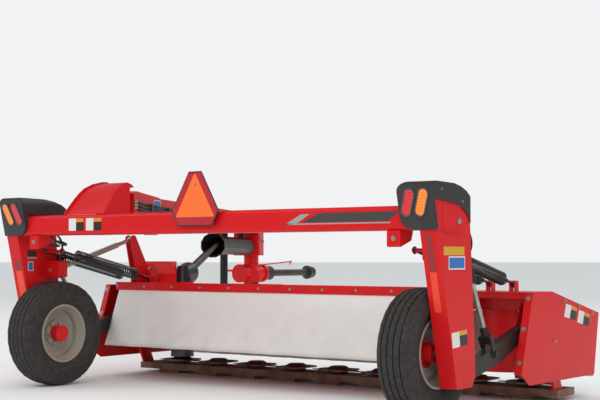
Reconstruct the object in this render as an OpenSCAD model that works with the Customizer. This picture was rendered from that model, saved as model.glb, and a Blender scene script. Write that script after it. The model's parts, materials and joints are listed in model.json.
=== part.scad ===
// Trailed disc mower with a side-swinging tongue, parked on its jack.
// X points to the machine's right, Y in the direction of travel and Z up, in
// millimetres. The origin lies on the ground at the middle of the overall box.
// Sizes named *_x and *_y are measured from the middle of the crossbeam's rear
// face; place() moves the whole machine to its origin.

/* [Main frame] */
// Width over the outer faces of the two wheel legs
frame_w = 3840; // [3600:10:4000]
// Height of the crossbeam's underside
beam_z = 1148; // [1120:1:1170]
// Height and depth of the crossbeam tube
beam_h = 150; // [130:1:160]
// Wall of the crossbeam tube
beam_wall = 8; // [5:1:14]
// Corner radius of the crossbeam tube
beam_round = 24; // [16:1:34]
// Width of a leg housing
leg_w = 120; // [110:1:130]
// Thickness of the folded leg sheet
leg_sheet = 6; // [4:0.5:8]
// Height of the top of a leg plate
leg_top_z = 1342; // [1325:1:1350]
// Height of a leg's lower edge
leg_foot_z = 190; // [170:1:205]
// Lean of a leg's rear flange, in degrees
leg_lean = 13.3; // [11:0.1:15]

/* [Wheels] */
// Radius of the tyre
tyre_r = 400; // [380:1:415]
// Section width of the tyre
tyre_w = 250; // [230:1:255]
// Radius of the rim's lip
rim_r = 222; // [205:1:235]
// Gap between a tyre and its leg
tyre_gap = 10; // [7:1:20]
// Distance of the wheels ahead of the crossbeam's rear face
wheel_y = 270; // [255:1:290]
// Diameter of the stub axle
axle_d = 55; // [45:1:65]

/* [Lamp pods] */
// Width of a lamp pod
pod_w = 250; // [235:1:260]
// Height of a lamp pod's rear face
pod_h = 290; // [270:1:300]
// Wall of a lamp pod
pod_wall = 4; // [3:0.5:6]
// Length of an oval lamp
lamp_l = 165; // [150:1:170]
// Width of an oval lamp
lamp_w = 57; // [50:1:62]
// Tilt of the lamps, in degrees
lamp_tilt = 20; // [12:1:24]

/* [Header] */
// How far an end plate stands outside the legs
header_over = 60; // [50:1:80]
// Distance of the header's rear edge behind the arms' front pins
header_back = 70; // [60:1:80]
// Length of the header from its rear edge to its front edge
header_l = 1040; // [1000:1:1080]
// Height of the flat part of the hood
hood_z = 755; // [740:1:765]
// Height of the hood's front edge
hood_front_z = 586; // [560:1:600]
// Thickness of the header's sheet
sheet_t = 5; // [3:0.5:8]
// Height of the strip that clamps the curtain
strip_h = 66; // [50:1:75]
// Thickness of the curtains
curtain_t = 4; // [3:0.5:6]

/* [Cutterbar] */
// Number of cutting discs
disc_n = 9; // [7:1:9]
// Distance from an end plate to the nearest disc's middle
disc_end = 332; // [325:1:340]
// Diameter of a disc
disc_d = 330; // [300:1:350]
// Reach of the knife tips from a disc's middle
knife_r = 238; // [225:1:245]
// Depth of the cutterbar from front to back
bar_d = 260; // [220:1:300]
// Height of the cutterbar's box
bar_h = 52; // [45:1:60]

/* [Tongue] */
// Angle of the tongue to the left of straight ahead, in degrees
tongue_angle = 27.3; // [25:0.1:28]
// Distance from the tongue's pivot to the hitch swivel
tongue_l = 4900; // [4700:10:5100]
// Width of the tongue
tongue_w = 220; // [200:1:230]
// Height of the tongue's top
tongue_top_z = 1455; // [1445:1:1465]
// Height of the tongue's underside
tongue_z = 1255; // [1245:1:1265]
// Wall of the tongue
tongue_wall = 8; // [5:1:14]
// Diameter of the plastic shaft tunnel under the tongue
tunnel_d = 190; // [170:1:200]

/* [Hitch] */
// Diameter of the hitch's swivel column
swivel_d = 164; // [140:1:180]
// Spread of the lower-link pins, shoulder to shoulder
link_spread = 825; // [780:5:870]
// Diameter of the lower-link pins
link_pin_d = 28; // [24:1:32]
// Length of the front drive shaft
shaft_l = 950; // [850:10:1050]

/* [Lift] */
// Distance of the arms' rear pins ahead of the crossbeam's rear face
arm_y = 400; // [395:1:405]
// Height of the arms' rear pins
arm_z = 260; // [255:1:270]
// Forward reach of an arm, pin to pin
arm_dy = 790; // [780:1:800]
// Rise of an arm, pin to pin
arm_dz = 240; // [235:1:245]
// Width of an arm
arm_w = 60; // [50:1:64]
// Diameter of a lift spring
spring_d = 94; // [80:1:96]
// Number of rings drawn on a lift spring
spring_n = 30; // [20:1:34]

/* [Hidden] */
$fn = 64;

paint_red = "#d81e1e";
black = "#2b2a2a";
steel = "#9a9a98";
canvas = "#dad6d2";

// Running clearance of a pin in its bore, and between cheeks that turn
fit = 0.05;
cheek_gap = 4;

beam_d = beam_h;
leg_x1 = frame_w / 2;
leg_x0 = leg_x1 - leg_w;
leg_mid_x = (leg_x0 + leg_x1) / 2;
wheel_x = leg_x0 - tyre_gap - tyre_w / 2;
header_w = frame_w + 2 * header_over;
header_y = arm_y + arm_dy - header_back;
disc_pitch = (header_w - 2 * disc_end) / (disc_n - 1);
leg_rear_y = -48;
leg_front_y = 392;
leg_foot_y = 445;
leg_arch_z = 1195;

pod_x1 = leg_x1 + 8;
pod_x0 = pod_x1 - pod_w;
pod_over = 12;
pod_rear_y = leg_rear_y - pod_over - 30;
pod_front_y = 385;
pod_z1 = beam_z + 1 + pod_h;
lamp_z = 1312;
amber_x = pod_x1 - 82;
lamp_pitch = 96;
lamp_out = 6;

emblem_x = 41;
emblem_z = beam_z + 50;
emblem_h = 370;
emblem_y = -30;
emblem_t = 4;

end_x = header_w / 2;
front_y = header_y + header_l;
knee_y = header_y + 280;
plate_foot_z = 150;
flange_w = 55;
flange_z = 225;
strip_z0 = hood_z + 23 - strip_h;
strip_x0 = -end_x + 130;
strip_x1 = end_x - 480;
curtain_z0 = 250;
strip_t = 8;
curtain_top = strip_z0 + 30;

frame_tube = 120;
frame_tube_y = header_y + 150;
frame_tube_z = hood_z - sheet_t - frame_tube;

bar_y = header_y + 400;
disc_y = bar_y + bar_d - 70;
bar_z = 30;
disc_seat = bar_z + bar_h + 12;
disc_z = disc_seat + 6;
disc_x0 = -(disc_n - 1) / 2 * disc_pitch;

arm_x = leg_mid_x;
arm_front_y = arm_y + arm_dy;
arm_front_z = arm_z + arm_dz;
arm_pin_d = 40;
lift_top_y = 380;
lift_top_z = 1100;
lift_low_y = 745;
lift_low_z = 372;
lift_len = norm([lift_low_y - lift_top_y, lift_low_z - lift_top_z]);
lift_turn = atan2(lift_low_y - lift_top_y, lift_top_z - lift_low_z);
lift_drift = 6;
barrel_l = 300;

spring_x0 = leg_x0 - 116;
spring_gap = spring_d + 82;
spring_rod = 160;
link_x = -spring_x0;
link_rear_y = 320;
link_rear_z = 892;
link_box_y = 285;
link_box_h = 125;
link_front_y = link_rear_y + arm_dy;
link_front_z = link_rear_z + arm_dz;
mast_x = [link_x - 20 - cheek_gap - 10, link_x + 20 + cheek_gap];
gear_y0 = header_y + 170;

spring_y0 = 270;
spring_z0 = 1030;
spring_y1 = header_y + 130;
spring_z1 = hood_z + 50;

pivot_x = 770 - leg_x0;
pivot_y = 300;
pivot_d = 60;
ear_w = 150;
ear_y = beam_d + 62;
swing_dx = 780;
swing_frame = [pivot_x + swing_dx, 225];
swing_s = 850;
swing_z = 1215;
swing_low = [pivot_x - swing_s * sin(tongue_angle), pivot_y + swing_s * cos(tongue_angle)];
swing_len = norm(swing_low - swing_frame);
swing_drift = 15;
swing_eye_d = 84;
swing_turn = atan2(swing_low[0] - swing_frame[0], swing_low[1] - swing_frame[1]);

nose_l = 130;
nose_cut = 40;
wedge_s0 = 120;
wedge_s1 = 740;
hollow_s0 = 400;
hollow_end = 300;

hitch_x = pivot_x - tongue_l * sin(tongue_angle);
hitch_y = pivot_y + tongue_l * cos(tongue_angle);
hitch_shaft_z = 800;
column_z1 = 1000;
column_z0 = 880;
link_bar_z = 600;
link_bar_d = 100;
link_bar_h = 80;
hitch_d = 240;
hitch_z = 700;
hitch_back = 200;
link_pin_l = 110;

spline_d = 34.9;
spline_l = 80;

tunnel_s0 = 3050;
tunnel_s1 = tongue_l - 260;
tunnel_z = 1100;
hanger_s = tunnel_s1 + 6;

bell_l = 180;
bell_d = 250;
slider_d = 44;
slider_in = 100;

// The gearbox's head swivels above the first disc; the drive shaft starts at its fork
gear_in = [disc_x0, disc_y, 845];
head_l = 180;
head_drum_d = 190;
head_foot_z = 600;
head_pin_d = 20;
tunnel_in = [pivot_x - tunnel_s0 * sin(tongue_angle), pivot_y + tunnel_s0 * cos(tongue_angle), tunnel_z];
// The shaft is aimed a little off the tunnel's middle, to share its drift over both ranges
drive_aim = [32 * cos(tongue_angle), 32 * sin(tongue_angle), 2];
drive_vec = tunnel_in + drive_aim - gear_in;
drive_yaw = atan2(-drive_vec[0], drive_vec[1]);
drive_flat = norm([drive_vec[0], drive_vec[1]]) - head_l;
drive_len = norm([drive_flat, drive_vec[2]]);
drive_pitch = atan2(drive_vec[2], drive_flat);

jack_back = 650;
jack_s = tongue_l - jack_back;
jack_side = tongue_w / 2 + 55;
jack_z0 = 620;
jack_tube_l = 856;
jack_d = 64;
jack_leg_l = 940;
jack_foot = 220;

origin_x = (end_x + hitch_x - link_spread / 2 - link_pin_l) / 2;
origin_y = (wheel_y - tyre_r + hitch_y + hitch_back + 30 + shaft_l) / 2;

// Moves the machine so that its origin is the middle of its box on the ground
module place() translate([-origin_x, -origin_y, 0]) children();

// Extrudes an outline drawn in Y and Z from x0 towards +X
module along_x(x0, t) translate([x0, 0, 0]) rotate([90, 0, 90]) linear_extrude(t) children();

// Extrudes an outline drawn in X and Z from y0 towards +Y
module along_y(y0, t) translate([0, y0 + t, 0]) rotate([90, 0, 0]) linear_extrude(t) children();

// A piece drawn for the right side, also on the left
module both_sides() {
  children();
  mirror([1, 0, 0]) children();
}

// Rectangle with round corners, centred
module round_rect(w, h, r) {
  square([w - 2 * r, h], center = true);
  square([w, h - 2 * r], center = true);
  for (x = [-1, 1], y = [-1, 1]) translate([x * (w / 2 - r), y * (h / 2 - r)]) circle(r);
}

// Bar with a round end at each of two points in a plane, 1 mm narrower than its ends
module link_outline(a, b, ra, rb) {
  d = b - a;
  l = norm(d);
  turn = atan2(d[1], d[0]);
  translate(a) rotate(turn) polygon([[0, 1 - ra], [l, 1 - rb], [l, rb - 1], [0, ra - 1]]);
  translate(a) circle(ra);
  translate(b) circle(rb);
}

// Round bar between two points in space
module bar(a, b, d) {
  v = b - a;
  l = norm(v);
  translate(a) rotate([0, acos(v[2] / l), atan2(v[1], v[0])]) cylinder(h = l, d = d);
}

// Pin along X, from x0 to x1
module pin_x(x0, x1, y, z, d) translate([x0, y, z]) rotate([0, 90, 0]) cylinder(h = x1 - x0, d = d);

// Rear edge of a leg at height z
function leg_rear(z) = leg_rear_y + (leg_top_z - z) * tan(leg_lean);

// Quarter arch of a leg's top, from its front edge up to its rear corner
function arch(grow) = [for (a = [0:10:90])
  [20 + (leg_front_y - 20 + grow) * cos(a), leg_arch_z + (leg_top_z - leg_arch_z + grow) * sin(a)]];

module leg_outline() polygon(concat(
  [[leg_rear(leg_foot_z), leg_foot_z], [leg_foot_y - 40, leg_foot_z], [leg_foot_y, leg_foot_z + 60],
   [leg_foot_y, 420]],
  arch(0), [[leg_rear_y, leg_top_z]]));

module leg() color(paint_red) difference() {
  union() {
    along_x(leg_x1 - leg_sheet, leg_sheet) leg_outline();
    along_x(leg_x0, leg_sheet) leg_outline();
    along_x(leg_x0, leg_w) polygon([
      [leg_rear(leg_foot_z), leg_foot_z], [leg_rear(leg_foot_z) + leg_sheet, leg_foot_z],
      [leg_rear_y + leg_sheet, leg_top_z], [leg_rear_y, leg_top_z]]);
    pin_x(leg_x0, leg_x1, arm_y, arm_z, arm_pin_d);
    pin_x(leg_x0, leg_x1, lift_top_y, lift_top_z, 30);
    pin_x(spring_x0 - spring_gap / 2 - 15, leg_x0, spring_y0, spring_z0, 24);
    translate([leg_x0 - 12, spring_y0 - 40, spring_z0 - 40]) cube([12, 80, 80]);
    // Service panel with a folded lip on the outside, valve box on the inside
    along_x(leg_x1, 3) polygon([[62, beam_z - 11], [276, beam_z - 11], [276, beam_z + 146], [255, beam_z + 157], [62, beam_z + 157]]);
    translate([leg_x1, 66, beam_z - 11]) cube([16, 204, 7]);
    translate([-link_x + 20 + cheek_gap, link_box_y, link_rear_z - link_box_h / 2])
      cube([leg_x0 + link_x - 20 - cheek_gap, 90, link_box_h]);
  }
}

module left_leg() {
  mirror([1, 0, 0]) leg();
  // The other cheek for the upper link, and their pin
  color(paint_red) {
    along_x(link_x + 20 + cheek_gap, 10)
      translate([link_box_y, link_rear_z - link_box_h / 2]) square([90, link_box_h]);
    translate([link_x - 21 - cheek_gap, link_box_y, link_rear_z - link_box_h / 2]) cube([50 + 2 * cheek_gap, 6, link_box_h]);
    pin_x(link_x - 21 - cheek_gap, link_x + 21 + cheek_gap, link_rear_y, link_rear_z, 25);
  }
}

module right_leg() leg();

module crossbeam() color(paint_red) difference() {
  union() {
    translate([-leg_x0, beam_d / 2, beam_z + beam_h / 2]) rotate([90, 0, 90])
      linear_extrude(2 * leg_x0) round_rect(beam_d, beam_h, beam_round);
    both_sides() along_x(leg_x0 - 235, 95)
      polygon([[0, beam_z], [0, beam_z - 90], [8, beam_z - 100], [beam_d - 20, beam_z - 60], [beam_d, beam_z]]);
    along_x(pivot_x - ear_w / 2, ear_w) polygon([
      [beam_d - 5, beam_z], [beam_d + 25, beam_z], [beam_d + 25, beam_z + beam_h], [ear_y + 22, tongue_top_z + 45],
      [ear_y, tongue_top_z + 45], [beam_d - 5, beam_z + beam_h]]);
    // Each ear: its height and where its root starts
    for (e = [[tongue_z - 35, beam_d + 14], [tongue_top_z + 20, ear_y + 10]])
      translate([0, 0, e[0]]) linear_extrude(25) {
        polygon([[pivot_x - ear_w / 2, e[1]], [pivot_x + ear_w / 2, e[1]],
                 [pivot_x + 75, pivot_y], [pivot_x - 75, pivot_y]]);
        translate([pivot_x, pivot_y]) circle(75);
      }
    translate([pivot_x, pivot_y, tongue_z - 35]) cylinder(h = tongue_top_z + 45 - tongue_z + 35, d = pivot_d);
    for (z = [swing_z - 55, swing_z + 35])
      translate([0, 0, z]) linear_extrude(20)
        link_outline([swing_frame[0], beam_d - 10], swing_frame, 60, 40);
    translate([swing_frame[0], swing_frame[1], swing_z - 55]) cylinder(h = 110, d = 30);
    translate([emblem_x - 30, emblem_y, emblem_z + 20]) cube([60, -emblem_y + 10, 60]);
  }
  translate([-leg_x0 - 1, beam_d / 2, beam_z + beam_h / 2]) rotate([90, 0, 90])
    linear_extrude(2 * leg_x0 + 2) round_rect(beam_d - 2 * beam_wall, beam_h - 2 * beam_wall, beam_round - beam_wall);
}

module axle() color(steel) {
  pin_x(wheel_x - 66, leg_x0, wheel_y, tyre_r, axle_d);
  pin_x(leg_x0 - 12, leg_x0, wheel_y, tyre_r, 150);
}

module left_axle() mirror([1, 0, 0]) axle();
module right_axle() axle();

// Rear face of a lamp pod at height z: it leans with the leg
function pod_back(z) = leg_rear(z) - pod_over;

// Side profile of a lamp pod, shrunk by a wall
module pod_side(w) polygon([
  [pod_back(beam_z) + w, beam_z], [pod_back(pod_z1 - 45) + w, pod_z1 - 45],
  for (a = [18:18:90]) [pod_back(pod_z1 - 45) + 45 - (45 - w) * cos(a), pod_z1 - 45 + (45 - w) * sin(a)],
  [190, pod_z1 - 6 - w], [270, pod_z1 - 22 - w], [340, pod_z1 - 48 - w], [pod_front_y - w, pod_z1 - 80 - w],
  [pod_front_y - w, beam_z]]);

// Rear outline of a lamp pod, round on its inner side, shrunk by a wall
module pod_rear(w) {
  translate([pod_x0 + w, beam_z + 90]) square([pod_w - 2 * w, pod_h - 150]);
  translate([pod_x0 + 90, beam_z + w]) square([pod_w - 90 - w, pod_h - 2 * w]);
  translate([pod_x0 + 90, beam_z + 90]) circle(90 - w);
  translate([pod_x0 + 70, pod_z1 - 70]) circle(70 - w);
  translate([pod_x0 + 70, pod_z1 - 70]) square([30, 70 - w]);
  translate([pod_x0 + w, pod_z1 - 140]) square([70, 70]);
}

module on_pod_face() translate([0, pod_back(lamp_z), lamp_z]) rotate([leg_lean, 0, 0]) children();
module lamp_oval(x, grow) translate([x, 0]) rotate(-lamp_tilt)
  round_rect(lamp_w + 2 * grow, lamp_l + 2 * grow, lamp_w / 2 + grow - 0.01);

module pod() color(black) difference() {
  union() {
    difference() {
      intersection() {
        along_x(pod_x0, pod_w) pod_side(0);
        along_y(pod_rear_y, pod_front_y - pod_rear_y) pod_rear(0);
      }
      intersection() {
        along_x(pod_x0 - 1, pod_w + 2) pod_side(pod_wall);
        along_y(pod_rear_y, pod_front_y - pod_rear_y - pod_wall) pod_rear(pod_wall);
      }
      translate([pod_x0 - 1, 0, beam_z - 1]) cube([pod_w - 8, pod_front_y + 1, beam_h + 11]);
      translate([leg_x0 - 1, pod_back(beam_z) + pod_wall, beam_z - 1]) cube([pod_x1 + 2 - leg_x0, pod_front_y + 100, pod_wall + 8]);
      along_x(leg_x0 - 0.5, leg_w + 3.6) offset(0.5) leg_outline();
      along_x(pod_x1 - pod_wall - 1, pod_wall + 2) polygon(concat(
        [[pod_back(beam_z) + 18, beam_z - 1], [pod_front_y + 1, beam_z - 1], [pod_front_y + 1, leg_arch_z]],
        [for (a = [0:10:60]) arch(-12)[a / 10]], [[leg_rear_y + 40, leg_top_z - 12], [pod_back(leg_top_z) + 22, leg_top_z - 12]]));
    }
    for (x = [amber_x, amber_x - lamp_pitch]) on_pod_face() along_y(-5, 6) lamp_oval(x, 8);
  }
  for (x = [amber_x, amber_x - lamp_pitch]) on_pod_face() along_y(-6, pod_wall + 8) lamp_oval(x, 0);
}

module left_lamp_pod() mirror([1, 0, 0]) pod();
module right_lamp_pod() pod();

module lamp(x) on_pod_face() along_y(-lamp_out, lamp_out + pod_wall + 2) lamp_oval(x, 0);
module amber_lamps() color("#ff8c1a") both_sides() lamp(amber_x);
module red_lamps() color("#d4202a") both_sides() lamp(amber_x - lamp_pitch);

// Slow-vehicle emblem: a triangle with cut corners
module emblem() color("#f56a1e") along_y(emblem_y - emblem_t, emblem_t) translate([emblem_x, emblem_z])
  polygon([for (p = [[-158, 0], [158, 0], [211, 103], [57, emblem_h], [-57, emblem_h], [-211, 103]]) p]);

// Cover over the tongue's pivot: a shell between two rising profiles, open at the front.
// Rows: distance ahead of the crossbeam's rear face and height above its top, on the left, then on the right
cover_rows = [
  [18, 8, 13, 9], [65, 58, 48, 62], [113, 110, 92, 124], [165, 158, 130, 172], [214, 194, 160, 200],
  [299, 229, 200, 229], [386, 250, 250, 240], [440, 253, 295, 228], [468, 238, 328, 203]];
cover_x = [pivot_x - 255, pivot_x + 150];
cover_t = 4;
cover_z = beam_z + beam_h;

// One profile with the ground line closed, moved inwards by w
module cover_profile(side, w) polygon(concat(
  [[cover_rows[0][2 * side] + w, -20]],
  [for (r = cover_rows) [r[2 * side] + w * (r[2 * side] < 260 ? 0.9 : -0.2), r[2 * side + 1] - w * 0.9]],
  [[cover_rows[8][2 * side] - w * 0.2, -20]]));
module cover_form(w) hull() for (side = [0, 1])
  along_x(cover_x[side] + (side == 0 ? 0 : -1) + w * (side == 0 ? -1 : -1), 1) translate([0, cover_z]) cover_profile(side, w);
module pivot_hood() color(paint_red) {
  difference() {
    cover_form(0);
    translate([-cover_t, 0, 0]) cover_form(cover_t);
    // Open at the front below the curl, and closed flat on the crossbeam
    translate([cover_x[0] - 10, 280, cover_z - 30]) cube([cover_x[1] - cover_x[0] + 20, 400, 236]);
    translate([cover_x[0] - 10, -100, cover_z - 30]) cube([cover_x[1] - cover_x[0] + 20, 700, 30.5]);
  }
  // Rim round the left end
  along_x(cover_x[0] - 3, 6) translate([0, cover_z]) difference() {
    translate([0, 0.5]) polygon(concat([[cover_rows[0][0] - 14, 0]],
      [for (r = cover_rows) [r[0] - (r[0] < 300 ? 10 : 0), r[1] + 12]], [[cover_rows[8][0], 200]],
      [for (i = [8:-1:0]) [cover_rows[i][0] + (cover_rows[i][0] < 300 ? 8 : 0), cover_rows[i][1] - 8]], [[cover_rows[0][0] + 12, 0]]));
    translate([0, -50]) square([600, 50]);
  }
}

// Tyre cross-section: beads on the rim, round shoulders and four grooves
tread_r0 = tyre_r - 12;
groove_x = [-66, -22, 22, 66];
module tyre() color("#33302e") difference() {
  rotate([0, 90, 0]) rotate_extrude($fn = 96) polygon([
    [rim_r - 8, -85], [rim_r + 20, -100], [rim_r + 70, -tyre_w / 2], [tyre_r - 62, -tyre_w / 2 + 4],
    [tyre_r - 22, -100], [tyre_r - 6, -78], [tyre_r, -40], [tyre_r, 40], [tyre_r - 6, 78], [tyre_r - 22, 100],
    [tyre_r - 62, tyre_w / 2 - 4], [rim_r + 70, tyre_w / 2], [rim_r + 20, 100], [rim_r - 8, 85]]);
  for (x = groove_x) translate([x - 5, 0, 0]) rotate([0, 90, 0]) difference() {
    cylinder(h = 10, r = tyre_r + 5);
    translate([0, 0, -1]) cylinder(h = 12, r = tread_r0);
  }
}

module rim() {
  color("#c9c7c2") rotate([0, 90, 0]) rotate_extrude($fn = 96) polygon([
    [rim_r, -92], [rim_r, -100], [rim_r - 14, -100], [rim_r - 22, -80], [rim_r - 40, -40], [rim_r - 40, 0],
    [150, 12], [95, 2], [60, 2], [60, 10], [95, 10], [150, 22], [rim_r - 34, 10], [rim_r - 34, 40],
    [rim_r - 22, 80], [rim_r - 14, 100], [rim_r, 100], [rim_r, 92], [rim_r - 8, 85.3], [rim_r - 28, 38],
    [rim_r - 28, -38], [rim_r - 8, -85.3]]);
  color(paint_red) rotate([0, 90, 0]) difference() {
    union() {
      translate([0, 0, -78]) cylinder(h = 156, d = 122);
      translate([0, 0, -10]) cylinder(h = 12, d = 200);
    }
    translate([0, 0, -68]) cylinder(h = 200, d = axle_d + 2 * fit);
  }
}

module at_wheel() translate([wheel_x, wheel_y, tyre_r]) mirror([1, 0, 0]) children();
module right_tyre() at_wheel() mirror([1, 0, 0]) tyre();
module left_tyre() mirror([1, 0, 0]) right_tyre();
module right_rim() at_wheel() mirror([1, 0, 0]) rim();
module left_rim() mirror([1, 0, 0]) right_rim();

// Lower arms between the legs and the header
module arm() difference() {
  union() {
    along_x(arm_x - arm_w / 2, arm_w) difference() {
      union() {
        polygon([[arm_y, arm_z - 41], [arm_y + arm_dy * 0.55, arm_z + arm_dz * 0.55 - 82],
                 [arm_front_y, arm_front_z - 41], [arm_front_y, arm_front_z + 41],
                 [arm_y + arm_dy * 0.5, arm_z + arm_dz * 0.5 + 56], [arm_y, arm_z + 41]]);
        for (p = [[arm_y, arm_z], [arm_front_y, arm_front_z]]) translate(p) circle(42);
      }
      for (p = [[arm_y, arm_z], [arm_front_y, arm_front_z]]) translate(p) circle(d = arm_pin_d + 2 * fit);
    }
    pin_x(arm_x - arm_w / 2 - 20, arm_x + arm_w / 2 + 20, lift_low_y, lift_low_z, 30);
  }
}
module lower_arms() color(black) both_sides() arm();

module upper_link() color(steel) difference() {
  union() {
    bar([link_x, link_rear_y, link_rear_z], [link_x, link_front_y, link_front_z], 32);
    bar([link_x, link_rear_y + arm_dy * 0.3, link_rear_z + arm_dz * 0.3],
        [link_x, link_rear_y + arm_dy * 0.8, link_rear_z + arm_dz * 0.8], 44);
    for (s = [0, 1])
      pin_x(link_x - 20, link_x + 20, link_rear_y + arm_dy * s, link_rear_z + arm_dz * s, 52);
  }
  for (s = [0, 1])
    pin_x(link_x - 21, link_x + 21, link_rear_y + arm_dy * s, link_rear_z + arm_dz * s, 25 + 2 * fit);
}

// Lift spring: rings of wire along +Z from the end of its long rod, with an eye at each end
module spring(l) {
  eye = 26;
  coil_l = l - spring_rod - eye - 20;
  pitch = coil_l / spring_n;
  translate([0, 0, spring_rod]) rotate_extrude($fn = 24) polygon(concat(
    [[0, 0]], [for (i = [0:spring_n - 1]) each [[spring_d / 2 - 5, i * pitch], [spring_d / 2, (i + 0.5) * pitch]]],
    [[spring_d / 2 - 5, coil_l], [0, coil_l]]));
  // Each eye's place, its rod's start and its rod's length
  for (e = [[0, 0, spring_rod + 1], [l, l - eye - 21, eye + 21]]) difference() {
    union() {
      translate([0, 0, e[1]]) cylinder(h = e[2], d = 20);
      translate([-10, 0, e[0]]) rotate([0, 90, 0]) cylinder(h = 20, r = eye);
    }
    translate([-11, 0, e[0]]) rotate([0, 90, 0]) cylinder(h = 22, d = 24 + 2 * fit);
  }
}

spring_vec = [spring_y1 - spring_y0, spring_z1 - spring_z0];
module spring_pair(side) for (s = [-1, 1])
  translate([side * spring_x0 + s * spring_gap / 2, spring_y0, spring_z0])
    rotate([-atan2(spring_vec[0], spring_vec[1]), 0, 0]) spring(norm(spring_vec));
module right_springs() color(black) spring_pair(1);
module left_springs() color(black) spring_pair(-1);

// Lift cylinders hang between the leg plates and push on the arms
module along_lift() translate([arm_x, lift_top_y, lift_top_z]) rotate([lift_turn, 0, 0]) children();
module lift_barrels() color(black) both_sides() along_lift() difference() {
  union() {
    translate([0, 0, -barrel_l]) cylinder(h = barrel_l - 22, d = 66);
    rotate([0, 90, 0]) translate([0, 0, -30]) cylinder(h = 60, d = 60);
  }
  rotate([0, 90, 0]) translate([0, 0, -31]) cylinder(h = 62, d = 30 + 2 * fit);
  translate([0, 0, -barrel_l - 1]) cylinder(h = barrel_l - 60, d = 36 + 2 * fit);
}
module lift_rods() both_sides() along_lift() {
  color(steel) translate([0, 0, -lift_len + 130]) cylinder(h = lift_len - 130 - 225, d = 36);
  color(black) difference() {
    union() {
      translate([-arm_w / 2 - 14, -22, -lift_len + 80]) cube([arm_w + 28, 44, 50]);
      for (s = [-1, 1]) translate([s * (arm_w / 2 + cheek_gap / 2 + 5) - 5, 0, -lift_len]) {
        rotate([0, 90, 0]) cylinder(h = 10, d = 56);
        translate([0, -22, 0]) cube([10, 44, 90]);
      }
    }
    translate([-100, 0, -lift_len]) rotate([0, 90, 0]) cylinder(h = 200, d = 30 + 2 * lift_drift);
  }
}

// Header frame: a square tube under the hood with the brackets for the arms
bracket_x = [arm_x - arm_w / 2 - cheek_gap - 12, arm_x + arm_w / 2 + cheek_gap];
module header_beam() color(paint_red) difference() {
  union() {
    translate([-end_x + sheet_t, frame_tube_y, frame_tube_z]) cube([header_w - 2 * sheet_t, frame_tube, frame_tube]);
    both_sides() {
      for (x = bracket_x) along_x(x, 12) link_outline(
        [arm_front_y, arm_front_z], [frame_tube_y + 60, frame_tube_z + 30], 42, 60);
      pin_x(bracket_x[0], bracket_x[1] + 12, arm_front_y, arm_front_z, arm_pin_d);
      // Struts from the frame tube down to the cutterbar
      along_x(end_x - sheet_t - 60, 20) polygon([
        [frame_tube_y, frame_tube_z + 10], [frame_tube_y + frame_tube, frame_tube_z + 10],
        [bar_y + 120, bar_z + bar_h], [bar_y, bar_z + bar_h]]);
    }
  }
  translate([-end_x, frame_tube_y + 8, frame_tube_z + 8]) cube([header_w, frame_tube - 16, frame_tube - 16]);
}

// Hood outline in Y and Z: flat from the rear to a knee, then down to the front
module hood_outline(z) polygon([
  [header_y, hood_z - z], [knee_y, hood_z - z], [front_y, hood_front_z - z],
  [front_y, hood_front_z - z - sheet_t], [knee_y, hood_z - z - sheet_t], [header_y, hood_z - z - sheet_t]]);

module hood() color(paint_red) difference() {
  union() {
    along_x(-end_x + sheet_t, header_w - 2 * sheet_t) hood_outline(0);
    along_y(header_y - curtain_t - strip_t, strip_t)
      translate([strip_x0, strip_z0]) square([strip_x1 - strip_x0, strip_h]);
    along_y(header_y - curtain_t, curtain_t)
      translate([strip_x0, curtain_top]) square([strip_x1 - strip_x0, hood_z - curtain_top]);
    along_y(header_y, sheet_t) translate([strip_x0, strip_z0]) square([strip_x1 - strip_x0, hood_z - strip_z0]);
    translate([strip_x1, header_y, strip_z0]) cube([end_x - flange_w - 1 - strip_x1, 6, hood_z - strip_z0]);
    for (z = [strip_z0, hood_z - 6]) translate([strip_x1 + 4, header_y - 14, z]) cube([end_x - flange_w - 5 - strip_x1, 15, 6]);
    // Clevis at the foot of each spring
    both_sides() for (s = [-1, 1]) translate([spring_x0 + s * spring_gap / 2, 0, 0]) {
      for (x = [-10 - cheek_gap - 10, 10 + cheek_gap]) along_x(x, 10) {
        translate([spring_y1 - 24, hood_z - 1]) square([48, spring_z1 - hood_z + 1]);
        translate([spring_y1, spring_z1]) circle(24.5);
      }
      pin_x(-20 - cheek_gap, 20 + cheek_gap, spring_y1, spring_z1, 24);
    }
  }
  translate([gear_in[0], gear_in[1], head_foot_z - 50]) cylinder(h = head_z - head_foot_z + 60, d = head_drum_d);
  translate([-end_x, header_y - 20, 0]) cube([header_w, 200, hood_z - sheet_t - 100]);
}

// End plate of the header with its folded rear flange
function plate_rear(z) = header_y - (hood_z - z) * 0.33;
module end_plate() color(paint_red) {
  along_x(end_x - sheet_t, sheet_t) polygon([
    [header_y, hood_z], [knee_y, hood_z], [front_y, hood_front_z], [front_y - 90, plate_foot_z],
    [header_y - 60, plate_foot_z], [plate_rear(flange_z), flange_z]]);
  along_x(end_x - flange_w, flange_w - sheet_t) polygon([
    [plate_rear(hood_z - sheet_t), hood_z - sheet_t], [plate_rear(hood_z - sheet_t) + sheet_t, hood_z - sheet_t],
    [plate_rear(flange_z) + sheet_t, flange_z], [plate_rear(flange_z), flange_z]]);
}
module right_end_plate() end_plate();
module left_end_plate() mirror([1, 0, 0]) end_plate();

module mast() color(paint_red) {
  for (x = mast_x) along_x(x, 10) {
    translate([link_front_y, link_front_z]) circle(34);
    polygon([[link_front_y - 33, link_front_z - 8], [link_front_y + 33, link_front_z + 8],
             [gear_y0 + 74, hood_z], [header_y + 45, hood_z]]);
  }
  pin_x(mast_x[0], mast_x[1] + 10, link_front_y, link_front_z, 25);
}

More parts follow.
